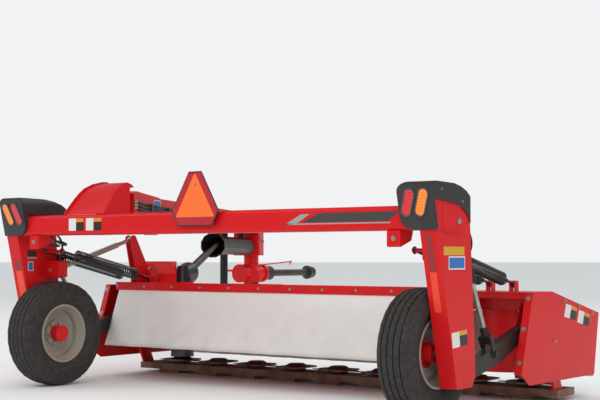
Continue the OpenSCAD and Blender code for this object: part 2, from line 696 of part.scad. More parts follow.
// Curtain that closes the header's rear, leaning like the end plates
module rear_curtain() color(canvas) difference() {
  along_x(strip_x0 + 5, strip_x1 - strip_x0 - 10) polygon([
    [header_y, curtain_top], [header_y, strip_z0], [plate_rear(curtain_z0), curtain_z0],
    [plate_rear(curtain_z0) - curtain_t, curtain_z0], [header_y - curtain_t, strip_z0], [header_y - curtain_t, curtain_top]]);
  // Slot for the left arm
  translate([-arm_x, 0, 0]) cube([arm_w / 2 + 8, header_y, arm_front_z + 100]);
}

module front_curtain() color(canvas) along_x(-end_x + sheet_t + 2, header_w - 2 * sheet_t - 4) polygon([
  [front_y - 12, hood_front_z - 4], [front_y - 12 + curtain_t, hood_front_z - 4],
  [front_y - 90 + curtain_t, plate_foot_z - 20], [front_y - 90, plate_foot_z - 20]]);

// Curved plate at the right rear that turns the swath inwards
swath_r = 420;
module swath_plate() color(paint_red) translate([0, 0, 205]) linear_extrude(frame_tube_z - 205)
  intersection() {
    translate([end_x - 420, header_y + 130 + swath_r]) difference() {
      circle(swath_r);
      circle(swath_r - sheet_t);
    }
    translate([end_x - 450, header_y + 60]) square([240, 300]);
  }

// Cutterbar with one skid below each disc
module cutterbar() color("#7a2018") {
  translate([-end_x + sheet_t + 15, bar_y, bar_z]) cube([header_w - 2 * sheet_t - 30, bar_d, bar_h]);
  for (i = [0:disc_n - 1]) translate([disc_x0 + i * disc_pitch, 0, 0]) {
    along_x(-110, 220) polygon([
      [bar_y + 20, 0], [bar_y + bar_d - 20, 0], [bar_y + bar_d + 60, 40], [bar_y + bar_d + 66, 52],
      [bar_y + bar_d + 52, 52], [bar_y + bar_d - 10, bar_z], [bar_y + 20, bar_z]]);
    translate([0, disc_y, bar_z + bar_h]) cylinder(h = disc_seat - bar_z - bar_h, d = 150);
  }
}

// Cutting disc with two knives, turned a quarter from its neighbour
module disc(i) translate([disc_x0 + (i - 1) * disc_pitch, disc_y, disc_z]) rotate([0, 0, i % 2 == 0 ? 90 : 0]) {
  color(steel) {
    intersection() {
      cylinder(h = 10, d = disc_d);
      translate([-disc_d / 2, -disc_d * 0.37, 0]) cube([disc_d, disc_d * 0.74, 10]);
    }
    translate([0, 0, 10]) cylinder(h = 22, d1 = 190, d2 = 120);
    for (s = [-1, 1]) scale([s, s, 1])
      translate([disc_d / 2 - 32, -22, -5]) cube([knife_r - disc_d / 2 + 32, 44, 5.2]);
    translate([0, 0, disc_seat - disc_z + 0.3]) cylinder(h = disc_z - disc_seat, d = 110);
    if (i == 1 || i == disc_n) translate([0, 0, 32]) cylinder(h = 330, d1 = 200, d2 = 150);
  }
}
module disc_1() disc(1);
module disc_2() disc(2);
module disc_3() disc(3);
module disc_4() disc(4);
module disc_5() disc(5);
module disc_6() disc(6);
module disc_7() disc(7);
module disc_8() disc(8);
module disc_9() disc(9);

// Gearbox on the header's left end under its bevelled cover
gear_x0 = disc_x0 - 262;
gear_x1 = disc_x0 + 313;
gear_top = hood_z + 193;
head_z = hood_z + 15;
module header_gearbox() color(paint_red) {
  intersection() {
    along_x(gear_x0, gear_x1 - gear_x0) polygon([
      [gear_y0, hood_z], [gear_y0, hood_z + 95], [gear_y0 + 140, gear_top], [disc_y - 92, gear_top], [disc_y - 92, hood_z]]);
    translate([0, 0, hood_z - 1]) linear_extrude(gear_top) polygon([
      [gear_x0, gear_y0 + 110], [gear_x0 + 220, gear_y0 + 110], [gear_x1 - 205, gear_y0], [gear_x1, gear_y0],
      [gear_x1 - 186, gear_y0 + 140], [gear_x1 - 300, disc_y - 92], [gear_x0, disc_y - 92]]);
  }
  // Housing that passes through the hood down to the first disc's drum
  translate([gear_in[0], gear_in[1], head_foot_z]) cylinder(h = head_z - head_foot_z, d = head_drum_d);
}

// Tongue, drawn straight ahead from its pivot and then turned
module on_tongue() translate([pivot_x, pivot_y, 0]) rotate([0, 0, tongue_angle]) children();
module tongue() color(paint_red) on_tongue() difference() {
  union() {
    along_x(-tongue_w / 2, tongue_w) polygon([
      [60, tongue_z + 10], [60, tongue_top_z + 10], [wedge_s0, tongue_top_z + 30], [wedge_s1, tongue_top_z + 7],
      [wedge_s1 + 20, tongue_top_z], [tongue_l + nose_l - nose_cut, tongue_top_z], [tongue_l + nose_l, tongue_top_z - nose_cut],
      [tongue_l + nose_l, tongue_z], [hollow_s0, tongue_z]]);
    translate([0, 0, tongue_z - 5]) cylinder(h = tongue_top_z - tongue_z + 13, d = 148);
    along_x(-tongue_w / 2 - 10, tongue_w + 20) polygon([
      [tongue_l - 190, tongue_z + 60], [tongue_l + 110, tongue_z + 60], [tongue_l + 110, column_z1],
      [tongue_l - 110, column_z1]]);
    // Hanger plate ahead of the shaft tunnel
    translate([-145, hanger_s, column_z1]) cube([285, 12, tongue_z + 5 - column_z1]);
    // Lugs for the swing cylinder
    for (z = [swing_z - 50, swing_z + 30]) translate([0, swing_s, z]) {
      cylinder(h = 20, d = 90);
      translate([-45, 0, 0]) cube([90, swing_eye_d / 2 + 35, 20]);
    }
    translate([-45, swing_s + swing_eye_d / 2 + 20, swing_z - 50]) cube([90, 15, tongue_z - swing_z + 55]);
    translate([0, swing_s, swing_z - 50]) cylinder(h = 100, d = 30);
    translate([0, tongue_l, column_z0 + 20]) cylinder(h = column_z1 - column_z0, d = swivel_d);
  }
  translate([0, 0, tongue_z - 50]) cylinder(h = 400, d = pivot_d + 2 * fit);
  translate([0, hanger_s - 1, tunnel_z]) rotate([-90, 0, 0]) cylinder(h = 14, d = 150);
  translate([-tongue_w / 2 + tongue_wall, hollow_s0, tongue_z + tongue_wall])
    cube([tongue_w - 2 * tongue_wall, tongue_l - hollow_s0 - hollow_end, tongue_top_z - tongue_z - 2 * tongue_wall]);
}

module shaft_tunnel() color(black) on_tongue() difference() {
  union() {
    translate([0, tunnel_s0 + bell_l, tunnel_z]) rotate([-90, 15, 0]) cylinder(h = tunnel_s1 - tunnel_s0 - bell_l, d = tunnel_d, $fn = 12);
    for (s = [tunnel_s0 + 200, tunnel_s1 - 300]) translate([-30, s, tunnel_z + tunnel_d / 2 - 12])
      cube([60, 50, tongue_z - tunnel_z - tunnel_d / 2 + 12]);
  }
  translate([0, tunnel_s0, tunnel_z]) rotate([-90, 15, 0]) cylinder(h = tunnel_s1 - tunnel_s0 + 1, d = tunnel_d - 14, $fn = 12);
}
module shaft_bell() color(black) on_tongue() translate([0, tunnel_s0, tunnel_z]) rotate([-90, 15, 0]) difference() {
  union() {
    cylinder(h = bell_l - 0.3, d1 = bell_d, d2 = tunnel_d, $fn = 12);
    // Sleeve inside the tunnel's end
    cylinder(h = bell_l + 60, d = tunnel_d - 15, $fn = 12);
  }
  translate([0, 0, -0.01]) cylinder(h = bell_l, d1 = bell_d - 14, d2 = tunnel_d - 24, $fn = 12);
  cylinder(h = bell_l + 61, d = tunnel_d - 27, $fn = 12);
}

// Swing cylinder between the crossbeam and the tongue
module along_swing() translate([swing_frame[0], swing_frame[1], swing_z]) rotate([0, 0, -swing_turn]) rotate([-90, 0, 0])
  children();
swing_barrel_l = 900;
module swing_barrel() color(black) along_swing() difference() {
  union() {
    translate([0, 0, 62]) cylinder(h = swing_barrel_l - 62, d = 76);
    cylinder(h = 70, d = 50);
    rotate([90, 0, 0]) translate([0, 0, -30]) cylinder(h = 60, d = 66);
  }
  rotate([90, 0, 0]) translate([0, 0, -31]) cylinder(h = 62, d = 30 + 2 * fit);
  translate([0, 0, 60]) cylinder(h = swing_barrel_l, d = 40 + 2 * fit);
}
module swing_rod() color(steel) along_swing() difference() {
  union() {
    translate([0, 0, swing_len - 900]) cylinder(h = 865, d = 40);
    translate([0, 0, swing_len]) rotate([90, 0, 0]) translate([0, 0, -26]) cylinder(h = 52, d = swing_eye_d);
  }
  translate([0, 0, swing_len]) rotate([90, 0, 0]) translate([0, 0, -31]) cylinder(h = 62, d = 30 + 2 * swing_drift);
}

// Parking jack on the tongue's left side
module at_jack() on_tongue() translate([-jack_side, jack_s, 0]) children();
module jack_tube() color(black) at_jack() {
  difference() {
    translate([0, 0, jack_z0]) cylinder(h = jack_tube_l, d = jack_d + 18);
    translate([0, 0, jack_z0 - 1]) cylinder(h = jack_tube_l - 19, d = jack_d + 2 * fit);
  }
  difference() {
    translate([0, -40, tongue_z + 40]) cube([jack_side - tongue_w / 2, 80, 120]);
    translate([0, 0, jack_z0 - 1]) cylinder(h = jack_tube_l - 19, d = jack_d + 2 * fit);
  }
}
module jack_leg() color(steel) at_jack() {
  translate([0, 0, 10]) cylinder(h = jack_leg_l, d = jack_d);
  translate([-jack_foot / 2, -jack_foot / 2, 0]) cube([jack_foot, jack_foot, 12]);
}

// Hitch: swivel gearbox with a crossbar for the lower links
module at_hitch() translate([hitch_x, hitch_y, 0]) children();
module hitch() color(paint_red) at_hitch() {
  // Neck, gear housing and its round rear cover
  translate([0, 0, hitch_z + 100]) cylinder(h = column_z0 + 19.7 - hitch_z - 100, d = swivel_d + 26);
  translate([0, 0, hitch_z + 130]) cylinder(h = 36, d1 = hitch_d, d2 = swivel_d + 26);
  translate([0, 0, hitch_z]) cylinder(h = 130.5, d = hitch_d);
  translate([0, -hitch_back, hitch_shaft_z]) rotate([-90, 0, 0]) cylinder(h = 2 * hitch_back, d = 170);
  translate([0, -hitch_back - 18, hitch_shaft_z]) rotate([-90, 0, 0]) cylinder(h = 30, d = 204);
  translate([0, hitch_back - 34, hitch_shaft_z]) rotate([-90, 0, 0]) cylinder(h = 34, d = 204);
  translate([-9, -hitch_back + 4, hitch_shaft_z - 96]) cube([18, 120, 192]);
  // Latch lever, and the hook that carries the drive shaft when it is unhitched
  bar([-60, -hitch_back + 20, hitch_shaft_z + 28], [-240, -hitch_back + 20, hitch_shaft_z + 32], 24);
  bar([40, 40, column_z0 + 6], [40, 700, column_z0 + 52], 14);
  bar([40, 696, column_z0 + 56], [40, 660, column_z0 + 18], 14);
  translate([-link_spread / 2, -link_bar_d / 2, link_bar_z]) cube([link_spread, link_bar_d, link_bar_h]);
  translate([-link_bar_d * 0.6, -link_bar_d * 0.6, link_bar_z]) cube([link_bar_d * 1.2, link_bar_d * 1.2, hitch_z + 10 - link_bar_z]);
  for (s = [-1, 1]) translate([s * link_spread / 2, 0, link_bar_z + link_bar_h / 2]) rotate([0, s * 90, 0])
    cylinder(h = link_pin_l, d = link_pin_d);
}

module input_shaft() color(black) at_hitch() translate([0, hitch_back, hitch_shaft_z]) rotate([-90, 0, 0]) difference() {
  union() {
    cylinder(h = 130, d1 = 110, d2 = 160);
    translate([0, 0, 130]) cylinder(h = shaft_l - 230, d = 76);
    translate([0, 0, shaft_l - 100]) cylinder(h = 100, d1 = 160, d2 = 130);
    translate([0, 0, shaft_l]) cylinder(h = 30, d = 75);
  }
  translate([0, 0, shaft_l + 30 - spline_l]) cylinder(h = spline_l + 1, d = spline_d);
}

// Drive shaft from the swivel head on the header's gearbox to the tunnel
module at_head() translate(gear_in) rotate([0, 0, drive_yaw]) children();
module along_drive() at_head() translate([0, head_l, 0]) rotate([drive_pitch - 90, 0, 0]) children();
module shaft_yoke() color(black) at_head() {
  translate([0, 0, head_z + 0.3 - gear_in[2]]) cylinder(h = gear_in[2] - head_z + 64, d1 = 164, d2 = 90);
  rotate([-90, 0, 0]) difference() {
    cylinder(h = head_l + 40, d1 = 100, d2 = 190);
    translate([0, 0, 70]) cylinder(h = head_l, d1 = 116, d2 = 192);
  }
  translate([0, 60, 0]) rotate([-90, 0, 0]) cylinder(h = 30, d = 90);
  difference() {
    for (x = [-44, 30]) translate([x, 80, -20]) {
      cube([14, head_l - 80, 40]);
      translate([0, head_l - 80, 20]) rotate([0, 90, 0]) cylinder(h = 14, d = 40);
    }
    translate([-50, head_l, 0]) rotate([0, 90, 0]) cylinder(h = 100, d = head_pin_d + 2 * fit);
  }
}
module shaft_tube() color(black) along_drive() {
  rotate([0, 90, 0]) translate([0, 0, -46]) cylinder(h = 92, d = head_pin_d);
  difference() {
    union() {
      translate([0, 0, -16]) cylinder(h = 90, d = 46);
      translate([0, 0, 50]) cylinder(h = 760, d = 70);
    }
    translate([0, 0, 100]) cylinder(h = 800, d = slider_d + 2 * fit);
  }
}
module shaft_slider() color(steel) along_drive() {
  translate([0, 0, 250]) cylinder(h = drive_len + slider_in - 250, d = slider_d);
}

place() crossbeam();
place() left_leg();
place() right_leg();
place() left_axle();
place() right_axle();
place() left_lamp_pod();
place() right_lamp_pod();
place() amber_lamps();
place() red_lamps();
place() emblem();
place() pivot_hood();
place() left_tyre();
place() right_tyre();
place() left_rim();
place() right_rim();
place() lower_arms();
place() upper_link();
place() left_springs();
place() right_springs();
place() lift_barrels();
place() lift_rods();
place() header_beam();
place() hood();
place() left_end_plate();
place() right_end_plate();
place() mast();
place() rear_curtain();
place() front_curtain();
place() swath_plate();
place() cutterbar();
place() header_gearbox();
place() disc_1();
place() disc_2();
place() disc_3();
place() disc_4();
place() disc_5();
place() disc_6();
place() disc_7();
place() disc_8();
place() disc_9();
place() tongue();
place() shaft_tunnel();
place() shaft_bell();
place() swing_barrel();
place() swing_rod();
place() jack_tube();
place() jack_leg();
place() hitch();
place() input_shaft();
place() shaft_yoke();
place() shaft_tube();
place() shaft_slider();
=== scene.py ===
import json
import math
import bpy
import bmesh
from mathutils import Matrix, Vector


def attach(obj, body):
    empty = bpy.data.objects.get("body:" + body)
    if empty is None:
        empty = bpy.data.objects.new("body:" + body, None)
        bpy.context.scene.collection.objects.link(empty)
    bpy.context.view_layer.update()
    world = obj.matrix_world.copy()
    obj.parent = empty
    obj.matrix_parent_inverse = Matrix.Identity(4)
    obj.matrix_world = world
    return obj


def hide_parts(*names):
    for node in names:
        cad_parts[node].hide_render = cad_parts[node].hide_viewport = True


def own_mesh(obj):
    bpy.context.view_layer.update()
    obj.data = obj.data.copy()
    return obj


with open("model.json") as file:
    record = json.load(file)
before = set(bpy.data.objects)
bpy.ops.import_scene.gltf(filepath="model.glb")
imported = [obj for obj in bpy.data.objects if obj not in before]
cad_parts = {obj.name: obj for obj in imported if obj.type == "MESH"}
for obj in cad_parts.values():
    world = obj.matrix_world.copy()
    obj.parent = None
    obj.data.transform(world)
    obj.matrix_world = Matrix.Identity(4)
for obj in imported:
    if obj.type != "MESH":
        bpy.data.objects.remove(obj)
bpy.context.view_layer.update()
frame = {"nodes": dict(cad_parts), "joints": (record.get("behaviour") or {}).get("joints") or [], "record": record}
nodes = frame["nodes"]
joints = {j["name"]: j for j in frame["joints"]}
scene = bpy.context.scene
print("frame loaded:", len(nodes), "nodes")

# Places on the CAD solids that several pieces use, in metres: x to the right of the machine's
# middle, y forward from the crossbeam's rear face, z up from the ground
wheel = {"x": 1.665, "y": 0.270, "z": 0.400}
leg = {"inside": 1.800, "outside": 1.920, "topRear": -0.048, "top": 1.342,
       "lean": math.radians(13.3)}
tongue = {"pivot": (-1.030, 0.300, 0), "angle": math.radians(27.3)}
lift = {"pin": Vector((0, 0.380, 1.100)), "line": Vector((0, 0.365, -0.728)).normalized()}
endPlate = {"x": 1.980, "topRear": 1.120, "top": 0.755, "slope": 0.33}

# The machine's middle line and the crossbeam's rear face, found from the wheels' joints
hubs = [Vector(joints[name]["pos_m"]) for name in ("left_wheel_turn", "right_wheel_turn")]
machine = Vector(((hubs[0].x + hubs[1].x) / 2, hubs[0].y - wheel["y"], 0))


# A point measured from the machine's middle, the crossbeam's rear face and the ground
def at(x, y, z):
    return machine + Vector((x, y, z))


# sRGB hex to the linear colour that a shader wants
def linear(hexCode):
    parts = [int(hexCode[i:i + 2], 16) / 255 for i in (1, 3, 5)]
    return [p / 12.92 if p <= 0.04045 else ((p + 0.055) / 1.055) ** 2.4 for p in parts] + [1.0]


# Adds one node with its settings, fixed inputs and links
def addNode(tree, kind, links=None, inputs=None, **settings):
    node = tree.nodes.new(kind)
    for key, value in settings.items():
        setattr(node, key, value)
    for key, value in (inputs or {}).items():
        node.inputs[key].default_value = value
    for key, source in (links or {}).items():
        tree.links.new(source, node.inputs[key])
    return node


# Camera, solved from the photograph: yaw to the left of straight ahead, pitch upwards
camera = {"place": (5.7536, -6.4542, 0.9935), "yaw": 36.905, "pitch": 2.537, "lens": 75.90,
          "sensor": 36.0, "reach": 200}


def makeCamera():
    data = bpy.data.cameras.new("camera")
    data.lens = camera["lens"]
    data.sensor_width = camera["sensor"]
    data.clip_end = camera["reach"]
    obj = bpy.data.objects.new("camera", data)
    obj.location = at(*camera["place"])
    obj.rotation_euler = (math.radians(90 + camera["pitch"]), 0, math.radians(camera["yaw"]))
    scene.collection.objects.link(obj)
    scene.camera = obj


# Studio: a pale floor, a pale background that the lights don't depend on, and soft lamps, each
# with its place, its size in metres and its power in watts
studio = {
    "floorSize": 400, "floor": "#F3F2EF", "floorRoughness": 0.85,
    "sky": "#EEF2F6", "fill": 0.88, "gloss": 0.32, "backdrop": "#F1F2F3",
    "lamps": [((7.5, -9.0, 9.5), 6.0, 480), ((-9.5, -7.0, 8.0), 7.0, 260),
              ((-2.0, 12.0, 10.0), 8.0, 320)],
    "aim": (0, 1.5, 0.6),
}


# World: one strength for light, one for reflections, and a plain backdrop for the camera
def makeWorld():
    scene.view_settings.view_transform = "Standard"
    world = bpy.data.worlds.new("studio")
    world.use_nodes = True
    scene.world = world
    tree = world.node_tree
    tree.nodes.clear()
    path = addNode(tree, "ShaderNodeLightPath").outputs
    light, gloss, shown = [
        addNode(tree, "ShaderNodeBackground", inputs={"Color": linear(color), "Strength": strength})
        for color, strength in ((studio["sky"], studio["fill"]), (studio["sky"], studio["gloss"]),
                                (studio["backdrop"], 1.0))]
    seen = addNode(tree, "ShaderNodeMath",
                   {0: path["Is Camera Ray"], 1: path["Is Transmission Ray"]}, operation="MAXIMUM")
    lit = addNode(tree, "ShaderNodeMixShader",
                  {0: path["Is Glossy Ray"], 1: light.outputs[0], 2: gloss.outputs[0]})
    mix = addNode(tree, "ShaderNodeMixShader",
                  {0: seen.outputs[0], 1: lit.outputs[0], 2: shown.outputs[0]})
    addNode(tree, "ShaderNodeOutputWorld", {"Surface": mix.outputs[0]})


def makeFloor():
    half = studio["floorSize"] / 2
    mesh = bpy.data.meshes.new("floor")
    mesh.from_pydata([(-half, -half, 0), (half, -half, 0), (half, half, 0), (-half, half, 0)], [],
                     [(0, 1, 2, 3)])
    floor = bpy.data.objects.new("floor", mesh)
    scene.collection.objects.link(floor)
    mat = bpy.data.materials.new("floorPaint")
    mat.use_nodes = True
    shader = mat.node_tree.nodes["Principled BSDF"]
    shader.inputs["Base Color"].default_value = linear(studio["floor"])
    shader.inputs["Roughness"].default_value = studio["floorRoughness"]
    mesh.materials.append(mat)


def makeLamps():
    for place, size, power in studio["lamps"]:
        data = bpy.data.lights.new("lamp", "AREA")
        data.size = size
        data.energy = power
        lamp = bpy.data.objects.new("lamp", data)
        lamp.location = at(*place)
        toAim = at(*studio["aim"]) - lamp.location
        lamp.rotation_euler = toAim.to_track_quat("-Z", "Y").to_euler()
        scene.collection.objects.link(lamp)


# Starts a material: returns it with its tree, its shader and Object coordinates
def startMaterial(name):
    mat = bpy.data.materials.new(name)
    mat.use_nodes = True
    tree = mat.node_tree
    shader = tree.nodes["Principled BSDF"]
    coord = addNode(tree, "ShaderNodeTexCoord").outputs["Object"]
    return mat, tree, shader, coord


# Two tones of one finish in soft patches
def patchyTone(tree, coord, scale, detail, first, second):
    patches = addNode(tree, "ShaderNodeTexNoise", {"Vector": coord},
                      {"Scale": scale, "Detail": detail})
    return addNode(tree, "ShaderNodeMix", {0: patches.outputs["Fac"]},
                   {6: linear(first), 7: linear(second)}, data_type="RGBA").outputs[2]


# Dust that gathers low down, up to a height: returns its share and the tone with the dust on it
def dustOver(tree, coord, tone, amount, top, dustAndHighlightColor):
    noise = addNode(tree, "ShaderNodeTexNoise", {"Vector": coord},
                    {"Scale": 7.0, "Detail": 6.0, "Roughness": 0.62})
    height = addNode(tree, "ShaderNodeSeparateXYZ", {"Vector": coord}).outputs["Z"]
    low = addNode(tree, "ShaderNodeMapRange", {"Value": height},
                  {"From Min": 0.0, "From Max": top, "To Min": amount, "To Max": amount * 0.16})
    spread = addNode(tree, "ShaderNodeMapRange", {"Value": noise.outputs["Fac"]},
                     {"From Min": 0.36, "From Max": 0.68, "To Min": 0.25, "To Max": 1.0})
    share = addNode(tree, "ShaderNodeMath", {0: low.outputs[0], 1: spread.outputs[0]},
                    operation="MULTIPLY").outputs[0]
    dusty = addNode(tree, "ShaderNodeMix", {0: share, 6: tone}, {7: linear(dustAndHighlightColor)},
                    data_type="RGBA").outputs[2]
    return share, dusty


# Fine grain of a surface: a noise that bumps it, on top of another normal where one is given
def addGrain(tree, shader, coord, scale, detail, strength, depth, under=None):
    grain = addNode(tree, "ShaderNodeTexNoise", {"Vector": coord},
                    {"Scale": scale, "Detail": detail})
    bump = addNode(tree, "ShaderNodeBump", {"Height": grain.outputs["Fac"]},
                   {"Strength": strength, "Distance": depth})
    if under is not None:
        tree.links.new(under, bump.inputs["Normal"])
    tree.links.new(bump.outputs[0], shader.inputs["Normal"])


# Wet-sprayed enamel on welded sheet: soft gloss, orange peel, lighter edges that are partly rubbed paint and
# partly a painted highlight, and field dust low down
def enamelPaint(name, look):
    mat, tree, shader, coord = startMaterial(name)
    tone = patchyTone(tree, coord, 1.6, 3.0, look["color"], look["faded"])
    dustAndHighlight, dusty = dustOver(tree, coord, tone, look["dustAndHighlight"], look["dustTop"], "#9A8C74")
    # An edge is where the rounded normal leaves the flat one; every edge is lightened, partly as worn paint and
    # partly as a painted highlight
    bevel = addNode(tree, "ShaderNodeBevel", inputs={"Radius": look["edgeMm"] / 1000}, samples=4)
    flat = addNode(tree, "ShaderNodeNewGeometry").outputs["Normal"]
    same = addNode(tree, "ShaderNodeVectorMath", {0: bevel.outputs[0], 1: flat},
                   operation="DOT_PRODUCT")
    edge = addNode(tree, "ShaderNodeMapRange", {"Value": same.outputs["Value"]},
                   {"From Min": 0.995, "From Max": 0.80, "To Min": 0.0, "To Max": look["edgeWearAndHighlight"]})
    edgeWearAndHighlight = addNode(tree, "ShaderNodeMix", {0: edge.outputs[0], 6: dusty},
                     {7: linear(look["edge"])}, data_type="RGBA")
    tree.links.new(edgeWearAndHighlight.outputs[2], shader.inputs["Base Color"])
    rough = addNode(tree, "ShaderNodeMapRange", {"Value": dustAndHighlight},
                    {"From Max": 0.5, "To Min": look["roughness"],
                     "To Max": look["roughness"] + 0.3})
    tree.links.new(rough.outputs[0], shader.inputs["Roughness"])
    # Sheet is never quite flat: waves about 300 mm long show in its reflections
    wave = addNode(tree, "ShaderNodeTexNoise", {"Vector": coord}, {"Scale": 3.4, "Detail": 0.0})
    waveBump = addNode(tree, "ShaderNodeBump",
                       {"Height": wave.outputs["Fac"], "Normal": bevel.outputs[0]},
                       {"Strength": 0.35, "Distance": 0.004})
    # Orange peel of sprayed paint lies 2 to 4 mm apart
    addGrain(tree, shader, coord, 1000 / look["peelMm"], 1.0, 0.10, 0.0004, waveBump.outputs[0])
    shader.inputs["Specular IOR Level"].default_value = 0.2
    shader.inputs["Coat Weight"].default_value = look["coat"]
    shader.inputs["Coat Roughness"].default_value = 0.12
    return mat


# Injection-moulded plastic with a spark-eroded grain: dull, a little grey with dust and age
def mouldedPlastic(name, look):
    mat, tree, shader, coord = startMaterial(name)
    tone = patchyTone(tree, coord, 5.0, 4.0, look["color"], look["aged"])
    dusty = dustOver(tree, coord, tone, look["dustAndHighlight"], 1.6, "#8C8374")[1]
    tree.links.new(dusty, shader.inputs["Base Color"])
    bevel = addNode(tree, "ShaderNodeBevel", inputs={"Radius": look["edgeMm"] / 1000}, samples=4)
    # The grain is under half a millimetre; it is drawn at about 2 mm so that it shows
    addGrain(tree, shader, coord, 480.0, 2.0, 0.22, 0.0005, bevel.outputs[0])
    shader.inputs["Roughness"].default_value = look["roughness"]
    return mat


# Cured rubber: almost black, dry and dusty, with a fine grit
def curedRubber(name, look):
    mat, tree, shader, coord = startMaterial(name)
    fine = addNode(tree, "ShaderNodeTexNoise", {"Vector": coord},
                   {"Scale": 26.0, "Detail": 6.0, "Roughness": 0.7})
    dustAndHighlight = addNode(tree, "ShaderNodeMapRange", {"Value": fine.outputs["Fac"]},
                   {"From Min": 0.38, "From Max": 0.75, "To Min": 0.0, "To Max": look["dustAndHighlight"]})
    tone = addNode(tree, "ShaderNodeMix", {0: dustAndHighlight.outputs[0]},
                   {6: linear(look["color"]), 7: linear(look["dustAndHighlightColor"])}, data_type="RGBA")
    tree.links.new(tone.outputs[2], shader.inputs["Base Color"])
    addGrain(tree, shader, coord, 260.0, 3.0, 0.25, 0.0008)
    shader.inputs["Roughness"].default_value = look["roughness"]
    return mat


# Painted spring wire: near black and glossy; the pale colour on the upper side of every turn is a painted
# highlight, not dust
def springWire(name, look):
    mat, tree, shader, coord = startMaterial(name)
    normal = addNode(tree, "ShaderNodeNewGeometry").outputs["Normal"]
    up = addNode(tree, "ShaderNodeSeparateXYZ", {"Vector": normal}).outputs["Z"]
    # Pale on the upward-facing side of the wire: a painted highlight on the top of each turn
    paintedHighlightTop = addNode(tree, "ShaderNodeMapRange", {"Value": up},
                      {"From Min": 0.45, "From Max": 0.95, "To Min": 0.0, "To Max": look["dustAndHighlight"]})
    patchy = addNode(tree, "ShaderNodeTexNoise", {"Vector": coord}, {"Scale": 30.0, "Detail": 4.0})
    share = addNode(tree, "ShaderNodeMath", {0: paintedHighlightTop.outputs[0], 1: patchy.outputs["Fac"]},
                    operation="MULTIPLY")
    tone = addNode(tree, "ShaderNodeMix", {0: share.outputs[0]},
                   {6: linear(look["color"]), 7: linear(look["dustAndHighlightColor"])}, data_type="RGBA")
    tree.links.new(tone.outputs[2], shader.inputs["Base Color"])
    addGrain(tree, shader, coord, 210.0, 2.0, 0.2, 0.0004)
    shader.inputs["Roughness"].default_value = look["roughness"]
    shader.inputs["Coat Weight"].default_value = 0.8
    return mat


# Steel: bare and worn, or zinc plated with its cloudy spangle; they differ in tone and roughness
def bareMetal(name, look):
    mat, tree, shader, coord = startMaterial(name)
    cloud = addNode(tree, "ShaderNodeTexNoise", {"Vector": coord},
                    {"Scale": look["cloud"], "Detail": 5.0})
    tone = addNode(tree, "ShaderNodeMix", {0: cloud.outputs["Fac"]},
                   {6: linear(look["color"]), 7: linear(look["stain"])}, data_type="RGBA")
    tree.links.new(tone.outputs[2], shader.inputs["Base Color"])
    rough = addNode(tree, "ShaderNodeMapRange", {"Value": cloud.outputs["Fac"]},
                    {"From Min": 0.3, "From Max": 0.7, "To Min": look["roughness"],
                     "To Max": look["roughness"] + 0.2})
    tree.links.new(rough.outputs[0], shader.inputs["Roughness"])
    bevel = addNode(tree, "ShaderNodeBevel", inputs={"Radius": 0.0015}, samples=4)
    addGrain(tree, shader, coord, 320.0, 2.0, 0.12, 0.0003, bevel.outputs[0])
    shader.inputs["Metallic"].default_value = look["metallic"]
    return mat


# Scale of a wave texture whose bands lie a distance apart, in metres
def waveScale(apart):
    return 2 * math.pi / apart / 20


# Lamp lens in moulded acrylic: clear gloss over fine prisms, drawn 18 mm apart so that they show
def lampLens(name, look):
    mat, tree, shader, coord = startMaterial(name)
    wave = addNode(tree, "ShaderNodeTexWave", {"Vector": coord},
                   {"Scale": waveScale(0.018), "Distortion": 0.0},
                   bands_direction="Z", wave_profile="TRI")
    tone = addNode(tree, "ShaderNodeMix", {0: wave.outputs["Fac"]},
                   {6: linear(look["color"]), 7: linear(look["bright"])}, data_type="RGBA")
    for socket in ("Base Color", "Emission Color"):
        tree.links.new(tone.outputs[2], shader.inputs[socket])
    bump = addNode(tree, "ShaderNodeBump", {"Height": wave.outputs["Fac"]},
                   {"Strength": 0.3, "Distance": 0.0015})
    tree.links.new(bump.outputs[0], shader.inputs["Normal"])
    shader.inputs["Emission Strength"].default_value = look["glow"]
    shader.inputs["Roughness"].default_value = 0.22
    shader.inputs["Coat Weight"].default_value = 0.5
    shader.inputs["Coat Roughness"].default_value = 0.05
    return mat


# Printed or reflective adhesive film: an even colour with a fine honeycomb, satin surface
def filmSheet(name, look):
    mat, tree, shader, coord = startMaterial(name)
    cells = addNode(tree, "ShaderNodeTexVoronoi", {"Vector": coord}, {"Scale": 150.0})
    share = addNode(tree, "ShaderNodeMapRange", {"Value": cells.outputs["Distance"]},
                    {"From Min": 0.0, "From Max": 0.8, "To Min": 0.0, "To Max": look["pattern"]})
    tone = addNode(tree, "ShaderNodeMix", {0: share.outputs[0]},
                   {6: linear(look["color"]), 7: linear(look["second"])}, data_type="RGBA")
    dusty = dustOver(tree, coord, tone.outputs[2], 0.12, 1.2, "#9A8C74")[1]
    tree.links.new(dusty, shader.inputs["Base Color"])
    if look.get("glow"):
        tree.links.new(dusty, shader.inputs["Emission Color"])
        shader.inputs["Emission Strength"].default_value = look["glow"]
    shader.inputs["Roughness"].default_value = look["roughness"]
    return mat


